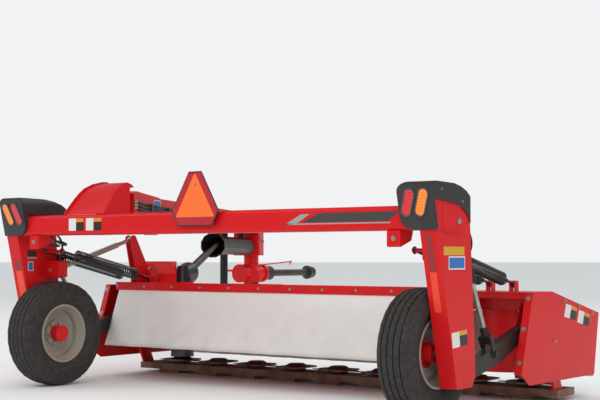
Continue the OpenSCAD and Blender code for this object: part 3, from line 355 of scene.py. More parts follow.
# PVC-coated polyester: a plain weave under a dull coating, stained towards its foot
def coatedCloth(name, look):
    mat, tree, shader, coord = startMaterial(name)
    tone = patchyTone(tree, coord, 2.2, 5.0, look["color"], look["aged"])
    dusty = dustOver(tree, coord, tone, look["dustAndHighlight"], 0.75, "#A79B84")[1]
    tree.links.new(dusty, shader.inputs["Base Color"])
    # Threads lie 1 mm apart; they are drawn 4 mm apart so that they show
    across, along = [
        addNode(tree, "ShaderNodeTexWave", {"Vector": coord}, {"Scale": waveScale(0.004)},
                bands_direction=axis).outputs["Fac"] for axis in ("X", "Z")]
    weave = addNode(tree, "ShaderNodeMath", {0: across, 1: along}, operation="ADD")
    bump = addNode(tree, "ShaderNodeBump", {"Height": weave.outputs[0]},
                   {"Strength": 0.15, "Distance": 0.0006})
    tree.links.new(bump.outputs[0], shader.inputs["Normal"])
    shader.inputs["Roughness"].default_value = 0.62
    shader.inputs["Sheen Weight"].default_value = 0.2
    return mat


# Each finish: how it is made, and its own values over those that its kind shares
# Edge colours and their share: lighter edges, partly worn paint and partly a painted highlight along every edge
enamel = {"faded": "#DC161B", "dustAndHighlight": 0.045, "dustTop": 1.0, "edgeMm": 3.0, "edgeWearAndHighlight": 0.30,
          "edge": "#F2604F", "roughness": 0.34, "peelMm": 3.0, "coat": 0.07}
finishes = {
    "redEnamel": (enamelPaint, {**enamel, "color": "#D00C14"}),
    "blackEnamel": (enamelPaint, {**enamel, "color": "#1B1B1C", "faded": "#2B2A2B",
                                  "edge": "#5E5B58", "dustAndHighlight": 0.10}),
    "rimEnamel": (enamelPaint, {**enamel, "color": "#A5A19A", "faded": "#8D887F",
                                "edge": "#C9C5BC", "dustAndHighlight": 0.7}),
    "cutterbarEnamel": (enamelPaint, {**enamel, "color": "#7A1D17", "faded": "#5B3A30",
                                      "edge": "#8E8A84", "edgeWearAndHighlight": 0.8, "dustAndHighlight": 0.7}),
    "podPlastic": (mouldedPlastic, {"color": "#232224", "aged": "#343335", "dustAndHighlight": 0.12,
                                    "edgeMm": 6.0, "roughness": 0.5}),
    "guardPlastic": (mouldedPlastic, {"color": "#19191A", "aged": "#2B2B2C", "dustAndHighlight": 0.25,
                                      "edgeMm": 3.0, "roughness": 0.45}),
    "bezelPlastic": (mouldedPlastic, {"color": "#4A494A", "aged": "#5C5A58", "dustAndHighlight": 0.2,
                                      "edgeMm": 1.0, "roughness": 0.4}),
    "tyreRubber": (curedRubber, {"color": "#2A2827", "dustAndHighlightColor": "#5C554D", "dustAndHighlight": 0.42,
                                 "roughness": 0.82}),
    "hoseRubber": (curedRubber, {"color": "#161616", "dustAndHighlightColor": "#4E4A44", "dustAndHighlight": 0.35,
                                 "roughness": 0.55}),
    "wornSteel": (bareMetal, {"color": "#8B8984", "stain": "#5E564C", "cloud": 14.0,
                              "roughness": 0.36, "metallic": 0.9}),
    "zincPlate": (bareMetal, {"color": "#C9C7BE", "stain": "#9C9788", "cloud": 40.0,
                              "roughness": 0.32, "metallic": 0.85}),
    # The springs' pale colour and its amount paint a highlight on the top of each turn
    "springSteel": (springWire, {"color": "#0E0D0E", "dustAndHighlightColor": "#B4ADA2", "dustAndHighlight": 1.5,
                                 "roughness": 0.25}),
    "amberLens": (lampLens, {"color": "#F26A0A", "bright": "#FF8C1A", "glow": 0.25}),
    "redLens": (lampLens, {"color": "#B00510", "bright": "#DC1420", "glow": 0.20}),
    "emblemOrange": (filmSheet, {"color": "#FF5F12", "second": "#F4741F", "pattern": 0.6,
                                 "roughness": 0.45, "glow": 0.18}),
    "emblemRed": (filmSheet, {"color": "#A50F1E", "second": "#CC2C36", "pattern": 0.7,
                              "roughness": 0.3}),
    "canvas": (coatedCloth, {"color": "#F5F2EE", "aged": "#E4E0D9", "dustAndHighlight": 0.34}),
}
film = {"pattern": 0.3, "roughness": 0.4}
filmColors = {
    "filmWhite": ("#E6E4DE", "#D6D3CB"), "filmBlack": ("#171615", "#2A2928"),
    "filmOrange": ("#E8891B", "#DB7A12"), "filmYellow": ("#D9A419", "#C59314"),
    "filmBlue": ("#1769B8", "#2A78C4"), "filmGrey": ("#9FA1A2", "#8B8D8F"),
    "filmDark": ("#3A3A3C", "#48484A"), "filmDeepRed": ("#951722", "#A92530"),
    "filmBrightRed": ("#F43A1C", "#FF5A34"),
}
for name, (first, second) in filmColors.items():
    finishes[name] = (filmSheet, {**film, "color": first, "second": second})
materials = {name: make(name, look) for name, (make, look) in finishes.items()}
print("materials made:", len(materials))

# What each CAD node is finished in, by the record's own slot or by the node itself
slotFinish = {
    "red_paint": "redEnamel", "black_paint": "blackEnamel", "black_plastic": "guardPlastic",
    "steel": "wornSteel", "zinc": "zincPlate", "tyre": "tyreRubber", "rim_grey": "rimEnamel",
    "amber_lens": "amberLens", "red_lens": "redLens", "emblem_orange": "guardPlastic",
    "canvas": "canvas", "cutterbar_red": "cutterbarEnamel",
}
nodeFinish = {"left_lamp_pod": "podPlastic", "right_lamp_pod": "podPlastic",
              "shaft_yoke": "blackEnamel"}
for part in frame["record"]["subparts"]:
    finish = nodeFinish.get(part["node"], slotFinish[part["material_slot"]])
    mesh = nodes[part["node"]].data
    mesh.materials.clear()
    mesh.materials.append(materials[finish])

# Parts of a CAD node in a second finish: the rims' hubs with their outer flanges, by radius and
# distance from the machine's middle, and the lift rods' forks, by distance from the upper pin
secondFinish = {"hub": 0.0625, "flange": 0.1005, "flangeFrom": 1.6645, "forkFrom": 0.6838}


def onHub(place):
    radius = math.hypot(place.y - wheel["y"], place.z - wheel["z"])
    outside = abs(place.x) > secondFinish["flangeFrom"]
    return radius < secondFinish["hub"] or outside and radius < secondFinish["flange"]


def onFork(place):
    return (place - lift["pin"]).dot(lift["line"]) > secondFinish["forkFrom"]


for name, look, isThere in (("left_rim", "redEnamel", onHub), ("right_rim", "redEnamel", onHub),
                            ("lift_rods", "blackEnamel", onFork)):
    mesh = nodes[name].data
    mesh.materials.append(materials[look])
    for face in mesh.polygons:
        if isThere(nodes[name].matrix_world @ face.center - machine):
            face.material_index = 1
print("solids finished")


# Puts a finished mesh into the scene as a piece that rides on a body
def addPiece(name, mesh, body, looks):
    obj = bpy.data.objects.new(name, mesh)
    scene.collection.objects.link(obj)
    for look in looks:
        mesh.materials.append(materials[look])
    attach(obj, body)
    return obj


# Merges what a bmesh has twice, points its faces outwards and makes a piece of it
def addSolid(name, bm, body, looks):
    bmesh.ops.remove_doubles(bm, verts=bm.verts[:], dist=1e-6)
    bmesh.ops.recalc_face_normals(bm, faces=bm.faces[:])
    mesh = bpy.data.meshes.new(name)
    bm.to_mesh(mesh)
    bm.free()
    return addPiece(name, mesh, body, looks)


# Name of the piece that stands for a CAD node
def pieceName(node):
    first, second = node.split("_")
    return first + second.capitalize()


# Starts a Geometry Nodes tree with named inputs: returns it with the outputs of its input node
def startTree(name, inputs):
    tree = bpy.data.node_groups.new(name, "GeometryNodeTree")
    tree.interface.new_socket("Geometry", in_out="INPUT", socket_type="NodeSocketGeometry")
    for key, kind in inputs.items():
        tree.interface.new_socket(key, in_out="INPUT", socket_type="NodeSocket" + kind)
    tree.interface.new_socket("Geometry", in_out="OUTPUT", socket_type="NodeSocketGeometry")
    return tree, addNode(tree, "NodeGroupInput").outputs


# Ends a tree: copies of one form at the points, each turned to its point's own direction
def placeCopies(tree, given, form):
    facing = addNode(tree, "GeometryNodeInputNamedAttribute", inputs={"Name": "facing"},
                     data_type="FLOAT_VECTOR")
    turn = addNode(tree, "FunctionNodeAlignRotationToVector",
                   {"Vector": facing.outputs["Attribute"]}, axis="Z")
    placed = addNode(tree, "GeometryNodeInstanceOnPoints",
                     {"Points": given["Geometry"], "Instance": form,
                      "Rotation": turn.outputs["Rotation"]})
    real = addNode(tree, "GeometryNodeRealizeInstances", {"Geometry": placed.outputs[0]})
    painted = addNode(tree, "GeometryNodeSetMaterial",
                      {"Geometry": real.outputs[0], "Material": given["Finish"]})
    addNode(tree, "NodeGroupOutput", {"Geometry": painted.outputs[0]})
    return tree


# A hexagon's corner radius and height, as shares of its width across the flats, and the
# washer's thickness in metres
boltForm = {"corner": 0.577, "height": 0.60, "washer": 0.003}


# Bolt or nut with its washer
def boltTree():
    tree, given = startTree("bolts", {"Head": "Float", "Washer": "Float", "Finish": "Material"})
    shares = (("Head", boltForm["corner"]), ("Head", boltForm["height"]),
              ("Head", boltForm["height"] / 2), ("Washer", 0.5))
    headR, headH, half, washerR = [
        addNode(tree, "ShaderNodeMath", {0: given[key]}, {1: share}, operation="MULTIPLY")
        .outputs[0] for key, share in shares]
    raised = addNode(tree, "ShaderNodeMath", {0: half}, {1: boltForm["washer"]}, operation="ADD")
    head = addNode(tree, "GeometryNodeMeshCylinder", {"Radius": headR, "Depth": headH},
                   {"Vertices": 6})
    upwards = addNode(tree, "ShaderNodeCombineXYZ", {"Z": raised.outputs[0]})
    moved = addNode(tree, "GeometryNodeTransform",
                    {"Geometry": head.outputs["Mesh"], "Translation": upwards.outputs[0]})
    washer = addNode(tree, "GeometryNodeMeshCylinder", {"Radius": washerR},
                     {"Vertices": 20, "Depth": boltForm["washer"]})
    seated = addNode(tree, "GeometryNodeTransform", {"Geometry": washer.outputs["Mesh"]},
                     {"Translation": (0, 0, boltForm["washer"] / 2)})
    joined = addNode(tree, "GeometryNodeJoinGeometry")
    for form in (moved, seated):
        tree.links.new(form.outputs[0], joined.inputs[0])
    return placeCopies(tree, given, joined.outputs[0])


# Coil of round wire that starts at its point
def coilTree():
    tree, given = startTree("coils", {"Turns": "Float", "Radius": "Float", "Length": "Float",
                                      "Wire": "Float", "Finish": "Material"})
    spiral = addNode(tree, "GeometryNodeCurveSpiral",
                     {"Rotations": given["Turns"], "Start Radius": given["Radius"],
                      "End Radius": given["Radius"], "Height": given["Length"]},
                     {"Resolution": 20})
    wire = addNode(tree, "GeometryNodeCurvePrimitiveCircle", {"Radius": given["Wire"]},
                   {"Resolution": 8})
    swept = addNode(tree, "GeometryNodeCurveToMesh",
                    {"Curve": spiral.outputs[0], "Profile Curve": wire.outputs[0]},
                    {"Fill Caps": True})
    return placeCopies(tree, given, swept.outputs[0])


# Bakes a tree on points with directions; its named inputs are set by their sockets' identifiers
def bakeCopies(tree, points, inputs):
    start = bpy.data.meshes.new("start")
    start.from_pydata([at(*place) for place, _ in points], [], [])
    facing = start.attributes.new("facing", "FLOAT_VECTOR", "POINT")
    for i, (_, direction) in enumerate(points):
        facing.data[i].vector = Vector(direction).normalized()
    obj = bpy.data.objects.new("start", start)
    scene.collection.objects.link(obj)
    modifier = obj.modifiers.new("nodes", "NODES")
    modifier.node_group = tree
    for socket in tree.interface.items_tree:
        if socket.in_out == "INPUT" and socket.name in inputs:
            modifier[socket.identifier] = inputs[socket.name]
    bpy.context.view_layer.update()
    baked = obj.evaluated_get(bpy.context.evaluated_depsgraph_get())
    mesh = bpy.data.meshes.new_from_object(baked)
    bpy.data.objects.remove(obj)
    mesh.materials.clear()
    return mesh


# Angles of evenly spaced points round a circle
def roundAngles(count, first=0.0):
    return [first + 2 * math.pi * k / count for k in range(count)]


# Joins closed rings of points into a skin
def loft(bm, rings, look=0, caps=False):
    rows = [[bm.verts.new(p) for p in ring] for ring in rings]
    count = len(rows[0])
    for a, b in zip(rows, rows[1:]):
        for i in range(count):
            j = (i + 1) % count
            face = bm.faces.new((a[i], a[j], b[j], b[i]))
            face.material_index = look
            face.smooth = True
    if caps:
        for row in (rows[0][::-1], rows[-1]):
            bm.faces.new(row).material_index = look


# Round tube along points of the machine's frame; its radius may change along it
def tube(bm, path, radii, look=0, sides=14):
    points = [at(*p) for p in path]
    if not hasattr(radii, "__len__"):
        radii = [radii] * len(points)
    rings = []
    side = None
    for i, point in enumerate(points):
        before, after = points[max(i - 1, 0)], points[min(i + 1, len(points) - 1)]
        along = (after - before).normalized()
        side = side or along.orthogonal()
        side = (side - along * along.dot(side)).normalized()
        other = along.cross(side)
        rings.append([point + (side * math.cos(t) + other * math.sin(t)) * radii[i]
                      for t in roundAngles(sides)])
    loft(bm, rings, look, caps=True)


# Turned part on a line: its form is pairs of a distance along the line and a radius
def turned(bm, start, direction, form, look=0, sides=14):
    path = [Vector(start) + Vector(direction) * s for s, _ in form]
    tube(bm, path, [radius for _, radius in form], look, sides)


# Closed ring of round wire about an axis
def ringWire(bm, centre, axis, radius, wire, steps=28, sides=10):
    axis = Vector(axis).normalized()
    side = axis.orthogonal().normalized()
    other = axis.cross(side)
    rings = []
    for t in roundAngles(steps) + [2 * math.pi]:
        out = side * math.cos(t) + other * math.sin(t)
        rings.append([at(*centre) + out * (radius + wire * math.cos(u)) + axis * wire * math.sin(u)
                      for u in roundAngles(sides)])
    loft(bm, rings)


# Rear faces of the leaning legs and of the header's end plates, by height
def legRear(z):
    return leg["topRear"] + (leg["top"] - z) * math.tan(leg["lean"])


def plateRear(z):
    return endPlate["topRear"] - (endPlate["top"] - z) * endPlate["slope"]


# A point on the tongue: distance along it from its pivot, distance to its right, height
alongTongue = Vector((-math.sin(tongue["angle"]), math.cos(tongue["angle"]), 0))
acrossTongue = Vector((alongTongue.y, -alongTongue.x, 0))


def onTongue(s, right, z):
    return tuple(Vector(tongue["pivot"]) + alongTongue * s + acrossTongue * right
                 + Vector((0, 0, z)))


# Films: thin coloured sheets stuck on, each with the corners of its outline. They stand a gap
# off what carries them. A label has a white part, and a black part under a coloured heading
filmForm = {"gap": 0.0012, "layer": 0.0004, "white": 0.49, "heading": 0.30}
beamFace = -filmForm["gap"]
legOuter = leg["outside"] + filmForm["gap"]
legInner = -leg["inside"] + filmForm["gap"]
plateFace = endPlate["x"] + filmForm["gap"]


# Panels from their low to their high corner: on the beam's rear face, on a side, on a leg's rear
# face and on the tongue's right side
def beamPanel(x0, x1, z0, z1):
    return [(x0, beamFace, z0), (x1, beamFace, z0), (x1, beamFace, z1), (x0, beamFace, z1)]


def sidePanel(y0, y1, z0, z1, x):
    return [(x, y0, z0), (x, y1, z0), (x, y1, z1), (x, y0, z1)]


def legPanel(x0, x1, z0, z1):
    y0, y1 = legRear(z0) - filmForm["gap"], legRear(z1) - filmForm["gap"]
    return [(x0, y0, z0), (x1, y0, z0), (x1, y1, z1), (x0, y1, z1)]


def tonguePanel(s0, s1, z0, z1, out):
    return [onTongue(s, out, z) for s, z in ((s0, z0), (s1, z0), (s1, z1), (s0, z1))]


def beamLabel(x0, x1, z0, z1, heading):
    middle = x0 + (x1 - x0) * filmForm["white"]
    band = z1 - (z1 - z0) * filmForm["heading"]
    return [("filmWhite", beamPanel(x0, middle, z0, z1)),
            (heading, beamPanel(middle, x1, band, z1)),
            ("filmBlack", beamPanel(middle, x1, z0, band))]


# The same label on a side, stuck on at a slope, from its lower rear corner
def slopedLabel(y, z, width, height, lean, slope, heading, x):
    def part(u0, u1, v0, v1):
        return [(x, y + width * u + lean * v, z + slope * width * u + height * v)
                for u, v in ((u0, v0), (u1, v0), (u1, v1), (u0, v1))]

    middle, band = filmForm["white"], 1 - filmForm["heading"]
    return [("filmWhite", part(0, middle, 0, 1)), (heading, part(middle, 1, band, 1)),
            ("filmBlack", part(middle, 1, 0, band))]


# An outline on a flat face that looks backwards
def rearOutline(points, y, x=0.0, z=0.0):
    return [(x + px, y, z + pz) for px, pz in points]


# Slow-vehicle emblem: its red sheet is a little smaller than the plate under it
emblem = {
    "x": 0.041, "foot": 1.198, "redFace": -0.0348, "orangeFace": -0.0352, "middle": 157,
    "shrink": 0.96,
    "plate": [(-158, 0), (158, 0), (211, 103), (57, 370), (-57, 370), (-211, 103)],
    "triangle": [(-0.166, 0.060), (0.166, 0.060), (0.171, 0.068), (0.006, 0.352), (-0.006, 0.352),
                 (-0.171, 0.068)],
}
redSheet = []
for px, pz in emblem["plate"]:
    corner = Vector((0, emblem["middle"]))
    corner += (Vector((px, pz)) - corner) * emblem["shrink"]
    redSheet.append((corner.x / 1000, corner.y / 1000))

films = {
    "carrier": [
        *beamLabel(-1.230, -1.075, 1.180, 1.270, "filmOrange"),
        *beamLabel(-1.050, -0.890, 1.180, 1.270, "filmOrange"),
        # The beam's stripe: a grey arrow head, a grey line under it and a dark band
        ("filmGrey", rearOutline([(0.782, 1.193), (0.884, 1.203), (0.985, 1.260),
                                  (0.916, 1.260)], beamFace)),
        ("filmGrey", rearOutline([(0.782, 1.193), (1.588, 1.193), (1.597, 1.201),
                                  (0.800, 1.201)], beamFace)),
        ("filmDark", rearOutline([(0.915, 1.207), (1.580, 1.207), (1.656, 1.264),
                                  (1.055, 1.264)], beamFace)),
        # Reflectors down the legs
        ("filmDeepRed", legPanel(1.834, 1.880, 0.898, 1.120)),
        ("filmBrightRed", legPanel(1.834, 1.880, 0.655, 0.896)),
        ("filmBrightRed", legPanel(-1.884, -1.812, 0.560, 0.880)),
        ("filmDeepRed", legPanel(-1.884, -1.812, 0.882, 0.960)),
        # Plates on the right leg's outer side and the left leg's inner side
        ("filmYellow", sidePanel(0.070, 0.318, 0.998, 1.050, legOuter)),
        ("filmWhite", sidePanel(0.128, 0.325, 0.912, 0.992, legOuter)),
        ("filmBlue", sidePanel(0.136, 0.317, 0.920, 0.984, legOuter + filmForm["layer"])),
        *slopedLabel(0.170, 0.440, 0.184, 0.092, -0.012, 0.083, "filmYellow", legOuter),
        ("filmBlack", sidePanel(0.100, 0.190, 0.988, 1.036, legInner)),
        ("filmGrey", sidePanel(0.100, 0.190, 0.975, 0.987, legInner)),
        ("filmWhite", sidePanel(0.105, 0.160, 0.880, 0.950, legInner)),
        ("filmBlue", sidePanel(0.110, 0.155, 0.885, 0.945, legInner + filmForm["layer"])),
        ("emblemRed", rearOutline(redSheet, emblem["redFace"], emblem["x"], emblem["foot"])),
        ("emblemOrange", rearOutline(emblem["triangle"], emblem["orangeFace"], emblem["x"],
                                     emblem["foot"])),
    ],
    "header": [
        *slopedLabel(1.582, 0.579, 0.182, 0.088, 0.031, -0.1833, "filmOrange", plateFace),
        *slopedLabel(1.791, 0.532, 0.186, 0.085, 0.032, -0.1990, "filmOrange", plateFace),
    ],
    "tongue": [
        ("filmWhite", tonguePanel(0.590, 0.785, 1.356, 1.440, 0.1112)),
        ("filmBlue", tonguePanel(0.598, 0.777, 1.362, 1.434, 0.1116)),
    ],
}
for body, sheets in films.items():
    looks = sorted({look for look, _ in sheets})
    corners, faces = [], []
    for _, outline in sheets:
        faces.append(tuple(range(len(corners), len(corners) + len(outline))))
        corners += [at(*corner) for corner in outline]
    mesh = bpy.data.meshes.new(body + "Films")
    mesh.from_pydata(corners, [], faces)
    for face, (look, _) in zip(mesh.polygons, sheets):
        face.material_index = looks.index(look)
    addPiece(body + "Films", mesh, body, looks)
print("films stuck on")

# Bolts, nuts and rivets: body, width of head, washer, then each one's place and direction
back, right, left = (0, -1, 0), (1, 0, 0), (-1, 0, 0)
both = (1, -1)
stripX = [-1.832, -1.526, -1.223, -0.922, -0.622, -0.322, -0.019, 0.282, 0.582, 0.885, 1.186, 1.470]
studs = {"circle": 0.082, "x": 1.655, "angles": roundAngles(6, math.radians(12))}


# Places of the wheel studs on one side
def studPlaces(side):
    return [(side * studs["x"], wheel["y"] + studs["circle"] * math.cos(t),
             wheel["z"] + studs["circle"] * math.sin(t)) for t in studs["angles"]]


bolts = {
    "stripBolts": ("header", 0.013, 0.022, [((x, 1.108, 0.745), back) for x in stripX]),
    "frontBolts": ("header", 0.013, 0.022,
                   [((-1.80 + 0.4 * k, 2.160, 0.578), (0, 1, 0.55)) for k in range(10)]),
    "flangeBolts": ("header", 0.016, 0.034,
                    [((s * 1.950, plateRear(z), z), (0, -1, endPlate["slope"]))
                     for s in both for z in (0.714, 0.515, 0.300)]),
    "plateBolts": ("header", 0.016, 0.028,
                   [((s * endPlate["x"], y, z), (s, 0, 0)) for s in both for y, z in
                    ((1.593, 0.688), (1.814, 0.637), (2.034, 0.586), (1.439, 0.420))]),
    "bracketBolts": ("carrier", 0.018, 0.032, [((x, 0.0, 1.100), back) for x in (-1.613, 1.613)]),
    "boxBolts": ("carrier", 0.018, 0.030, [((x, 0.285, 0.885), back) for x in (-1.744, 1.744)]),
    "emblemBolts": ("carrier", 0.009, 0.018,
                    [((emblem["x"], -0.035, z), back) for z in (1.478, 1.318)]),
    "podRivets": ("carrier", 0.008, 0.016, [((s * 1.928, y, z), (s, 0, 0)) for s in both
                                            for y, z in ((0.035, 1.391), (0.285, 1.325))]),
    "gearboxBolts": ("header", 0.020, 0.032,
                     [((x, 1.400, 0.885), back) for x in (-1.840, -1.790, -1.742)]),
    "leftStuds": ("left_wheel", 0.022, 0.030, [(place, right) for place in studPlaces(-1)]),
    "rightStuds": ("right_wheel", 0.022, 0.030, [(place, left) for place in studPlaces(1)]),
    "tongueBolts": ("tongue", 0.024, 0.040,
                    [(onTongue(4.80 + 0.07 * k, s * 0.121, 1.20 - 0.02 * k), acrossTongue * s)
                     for s in both for k in (0, 1, 2)]),
}
boltNodes = boltTree()
for name, (body, head, washer, places) in bolts.items():
    mesh = bakeCopies(boltNodes, places,
                      {"Head": head, "Washer": washer, "Finish": materials["zincPlate"]})
    addPiece(name, mesh, body, ["zincPlate"])
print("bolts placed:", sum(len(places) for _, _, _, places in bolts.values()))

# Lift springs: a pair of coils on each side, between two rods. Lengths run from the upper pin, or back from the
# lower
springs = {
    "x": 1.684, "gap": 0.176, "top": (0.270, 1.030), "foot": (1.250, 0.805),
    "rod": 0.160, "end": 0.172, "turns": 28.0, "coil": 0.0465, "wire": 0.0052, "keep": 0.7975,
    "eye": 0.0195, "eyeWire": 0.0062,
    "upper": [(0.025, 0.0095), (0.027, 0.0105), (0.132, 0.0105), (0.160, 0.030), (0.172, 0.040)],
    "lower": [(0.184, 0.040), (0.172, 0.030), (0.144, 0.0105), (0.040, 0.0105), (0.024, 0.0095)],
}
springLine = Vector((0, *springs["foot"])) - Vector((0, *springs["top"]))
springDir = springLine.normalized()
coilNodes = coilTree()
for side, node in ((1, "right_springs"), (-1, "left_springs")):
    name = pieceName(node)
    pins = [Vector((side * springs["x"] + s * springs["gap"] / 2, *springs["top"]))
            for s in (-1, 1)]
    coilStarts = [pin + springDir * springs["rod"] for pin in pins]
    coilSizes = {"Turns": springs["turns"], "Radius": springs["coil"] - springs["wire"],
                 "Length": springLine.length - springs["rod"] - springs["end"],
                 "Wire": springs["wire"], "Finish": materials["springSteel"]}
    coils, rods, hooks = bmesh.new(), bmesh.new(), bmesh.new()
    coils.from_mesh(bakeCopies(coilNodes, [(p, springDir) for p in coilStarts], coilSizes))
    for face in coils.faces:
        face.smooth = True
    for pin in pins:
        turned(coils, pin + springLine, -springDir, springs["lower"])
        turned(rods, pin, springDir, springs["upper"])
        ringWire(rods, pin, right, springs["eye"], springs["eyeWire"])
        ringWire(hooks, pin + springLine, right, springs["eye"], springs["eyeWire"])
    piece = addSolid(name, coils, "springs", ["springSteel"])
    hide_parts(node)
    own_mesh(piece)
    addSolid(name + "Rods", rods, "springs", ["springSteel"])
    addSolid(name + "Hooks", hooks, "header", ["springSteel"])
print("springs wound")

# Tyres, in millimetres: five ribs whose edges run in a shallow zigzag, a shoulder with short lugs
# and moulded sidewall lines. The profile is half a section: distance from the middle, radius
tyre = {"steps": 120, "waves": 40, "ripple": 3.5, "groove": 11, "crown": 400, "crownDrop": 9.5,
        "shoulder": 97, "lug": 2, "sharp": math.radians(38)}
tyreProfile = [(-85, 214), (-92, 226), (-101, 240), (-104, 252), (-106, 256), (-108, 262),
               (-121, 286), (-123.5, 292), (-122.5, 296), (-124.5, 302), (-124, 322), (-121, 338),
               (-117, 350), (-112, 364), (-106, 376), (-100, 382)]
ribEdges = [(-97, -70), (-61, -26), (-17, 17), (26, 61), (70, 97)]


# One section of a tyre at a step of its turn, in metres
def tyreSection(step):
    points = [(x, r, 0) for x, r in tyreProfile]
    for edges in ribEdges:
        for x in edges:
            r = tyre["crown"] - tyre["crownDrop"] * (x / tyre["shoulder"]) ** 2
            if abs(x) == tyre["shoulder"]:
                points.append((x, r - (tyre["lug"] if step % 4 < 2 else 0), 0))
            else:
                wall = [(x, r - tyre["groove"], 0), (x, r, 1)]
                points += wall if x == edges[0] else wall[::-1]
    points += [(-x, r, 0) for x, r in reversed(tyreProfile)]
    turn = step / tyre["steps"] * tyre["waves"] % 1
    shift = tyre["ripple"] * (1 - 4 * abs(turn - 0.5))
    return [((x + shift * moved) / 1000, r / 1000) for x, r, moved in points]


for side, node, body in ((1, "right_tyre", "right_wheel"), (-1, "left_tyre", "left_wheel")):
    bm = bmesh.new()
    rings = []
    for step in range(tyre["steps"] + 1):
        angle = 2 * math.pi * step / tyre["steps"]
        rings.append([at(side * wheel["x"] + x, wheel["y"] + r * math.cos(angle),
                         wheel["z"] + r * math.sin(angle)) for x, r in tyreSection(step)])
    loft(bm, rings)
    piece = addSolid(pieceName(node), bm, body, ["tyreRubber"])
    piece.data.set_sharp_from_angle(angle=tyre["sharp"])
    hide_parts(node)
print("tyres made")

# Curtains: coated cloth clamped along the top, straight down to its knee and then sloping, with
# a hem and shallow waves that grow towards the foot. Top and foot are places forward and up
curtains = {
    "rear_curtain": {"x": (-1.822, 1.492), "top": (1.1185, 0.765), "knee": 0.715,
                     "foot": (0.9535, 0.262), "wave": 0.009, "count": 7},
    "front_curtain": {"x": (-1.972, 1.972), "top": (2.1500, 0.578), "knee": 0.560,
                      "foot": (2.0720, 0.135), "wave": 0.010, "count": 13},
}
cloth = {"columns": 150, "rows": 14, "thick": 0.0022, "hem": 0.0012, "hemFrom": 0.93}


# Height, distance forward and half thickness of a curtain at a share of its width and its drop
def clothPoint(curtain, u, v):
    (topY, topZ), (footY, footZ) = curtain["top"], curtain["foot"]
    z = topZ + (footZ - topZ) * v
    slope = max(0.0, (curtain["knee"] - z) / (curtain["knee"] - footZ))
    turn = 2 * math.pi * curtain["count"] * u
    # A second, shorter wave of half the height keeps the first from looking drawn
    swell = math.sin(turn + 1.3 * v) + 0.5 * math.sin(2.3 * turn + 0.7)
    # Both die out in the last twelfth at either side
    swell *= curtain["wave"] * v ** 1.4 * min(1.0, 12 * u, 12 * (1 - u))
    half = cloth["thick"] / 2 + (cloth["hem"] if v > cloth["hemFrom"] else 0.0)
    return z, topY + (footY - topY) * slope + swell, half


for node, curtain in curtains.items():
    bm = bmesh.new()
    x0, x1 = curtain["x"]
    rings = []
    for i in range(cloth["columns"] + 1):
        u = i / cloth["columns"]
        x = x0 + (x1 - x0) * u
        places = [clothPoint(curtain, u, j / cloth["rows"]) for j in range(cloth["rows"] + 1)]
        rings.append([at(x, y - half, z) for z, y, half in places]
                     + [at(x, y + half, z) for z, y, half in reversed(places)])
    loft(bm, rings, caps=True)
    piece = addSolid(pieceName(node), bm, "header", ["canvas"])
    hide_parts(node)
print("curtains hung")

# Lamp surrounds: each follows the oval of its lamp in the leaning face of the pod. The rim gives
# how much wider than the lamp it is, and how far it stands out
lamps = {"x": (1.846, 1.750), "z": 1.312, "sunk": 0.012, "tilt": math.radians(20),
         "halfWidth": 0.0285, "straight": 0.054, "points": 36,
         "rim": [(0.001, 0.002), (0.001, 0.0085), (0.004, 0.0100), (0.0075, 0.0085),
                 (0.0085, 0.003)]}


def lampOval(side, x, grow, proud):
    half = lamps["halfWidth"] + grow
    points = []
    for t in roundAngles(lamps["points"]):
        px, pz = half * math.cos(t), half * math.sin(t)
        pz += lamps["straight"] if math.sin(t) >= 0 else -lamps["straight"]
        u = px * math.cos(lamps["tilt"]) + pz * math.sin(lamps["tilt"])
        w = pz * math.cos(lamps["tilt"]) - px * math.sin(lamps["tilt"])
        y = legRear(lamps["z"]) - lamps["sunk"]
        y -= w * math.sin(leg["lean"]) + proud * math.cos(leg["lean"])
        z = lamps["z"] + w * math.cos(leg["lean"]) - proud * math.sin(leg["lean"])
        points.append(at(side * (x + u), y, z))
    return points


bm = bmesh.new()
for side in both:
    for x in lamps["x"]:
        loft(bm, [lampOval(side, x, grow, proud) for grow, proud in lamps["rim"]])
addSolid("lampBezels", bm, "carrier", ["bezelPlastic"])

# Hydraulic lines on the tongue: three, clipped along its right side from fitting to fitting. Each
# next one lies a gap lower and sags a little more between its clips
lines = {"count": 3, "clips": [0.10, 0.45, 0.95, 1.55, 2.15, 2.75, 3.35, 3.95, 4.45],
         "gap": 0.024, "wire": 0.0085, "out": 0.124, "z": 1.404, "fall": 0.020, "sag": 0.005,
         "start": 0.085, "drop": 0.058, "clipHalf": 0.02, "clipOut": 0.1105, "clipR": 0.0415,
         "fittings": (0.075, 4.46), "fitting": [(0.105, 0.014), (0.120, 0.014), (0.134, 0.011)]}
bm = bmesh.new()
for k in range(lines["count"]):
    top = lines["z"] - lines["gap"] * k
    sag = lines["sag"] * (1 + 0.4 * k)
    path = [onTongue(lines["start"], lines["out"] - 0.006, top)]
    for a, b in zip(lines["clips"], lines["clips"][1:]):
        for t in (0, 0.25, 0.5, 0.75):
            s = a + (b - a) * t
            path.append(onTongue(s, lines["out"] + 0.003 * math.sin(math.pi * t + k),
                                 top - lines["fall"] * s - sag * math.sin(math.pi * t)))
    path.append(onTongue(lines["clips"][-1], lines["out"], top - lines["drop"]))
    tube(bm, path, lines["wire"], sides=10)
    for s, end in zip(lines["fittings"], (path[0], path[-1])):
        turned(bm, onTongue(s, 0, end[2]), acrossTongue, lines["fitting"], look=1, sides=6)
for s in lines["clips"][1:-1]:
    middle = lines["z"] - lines["gap"] - lines["fall"] * s
    tube(bm, [onTongue(s + end * lines["clipHalf"], lines["clipOut"], middle) for end in (-1, 1)],
         lines["clipR"], look=2, sides=4)
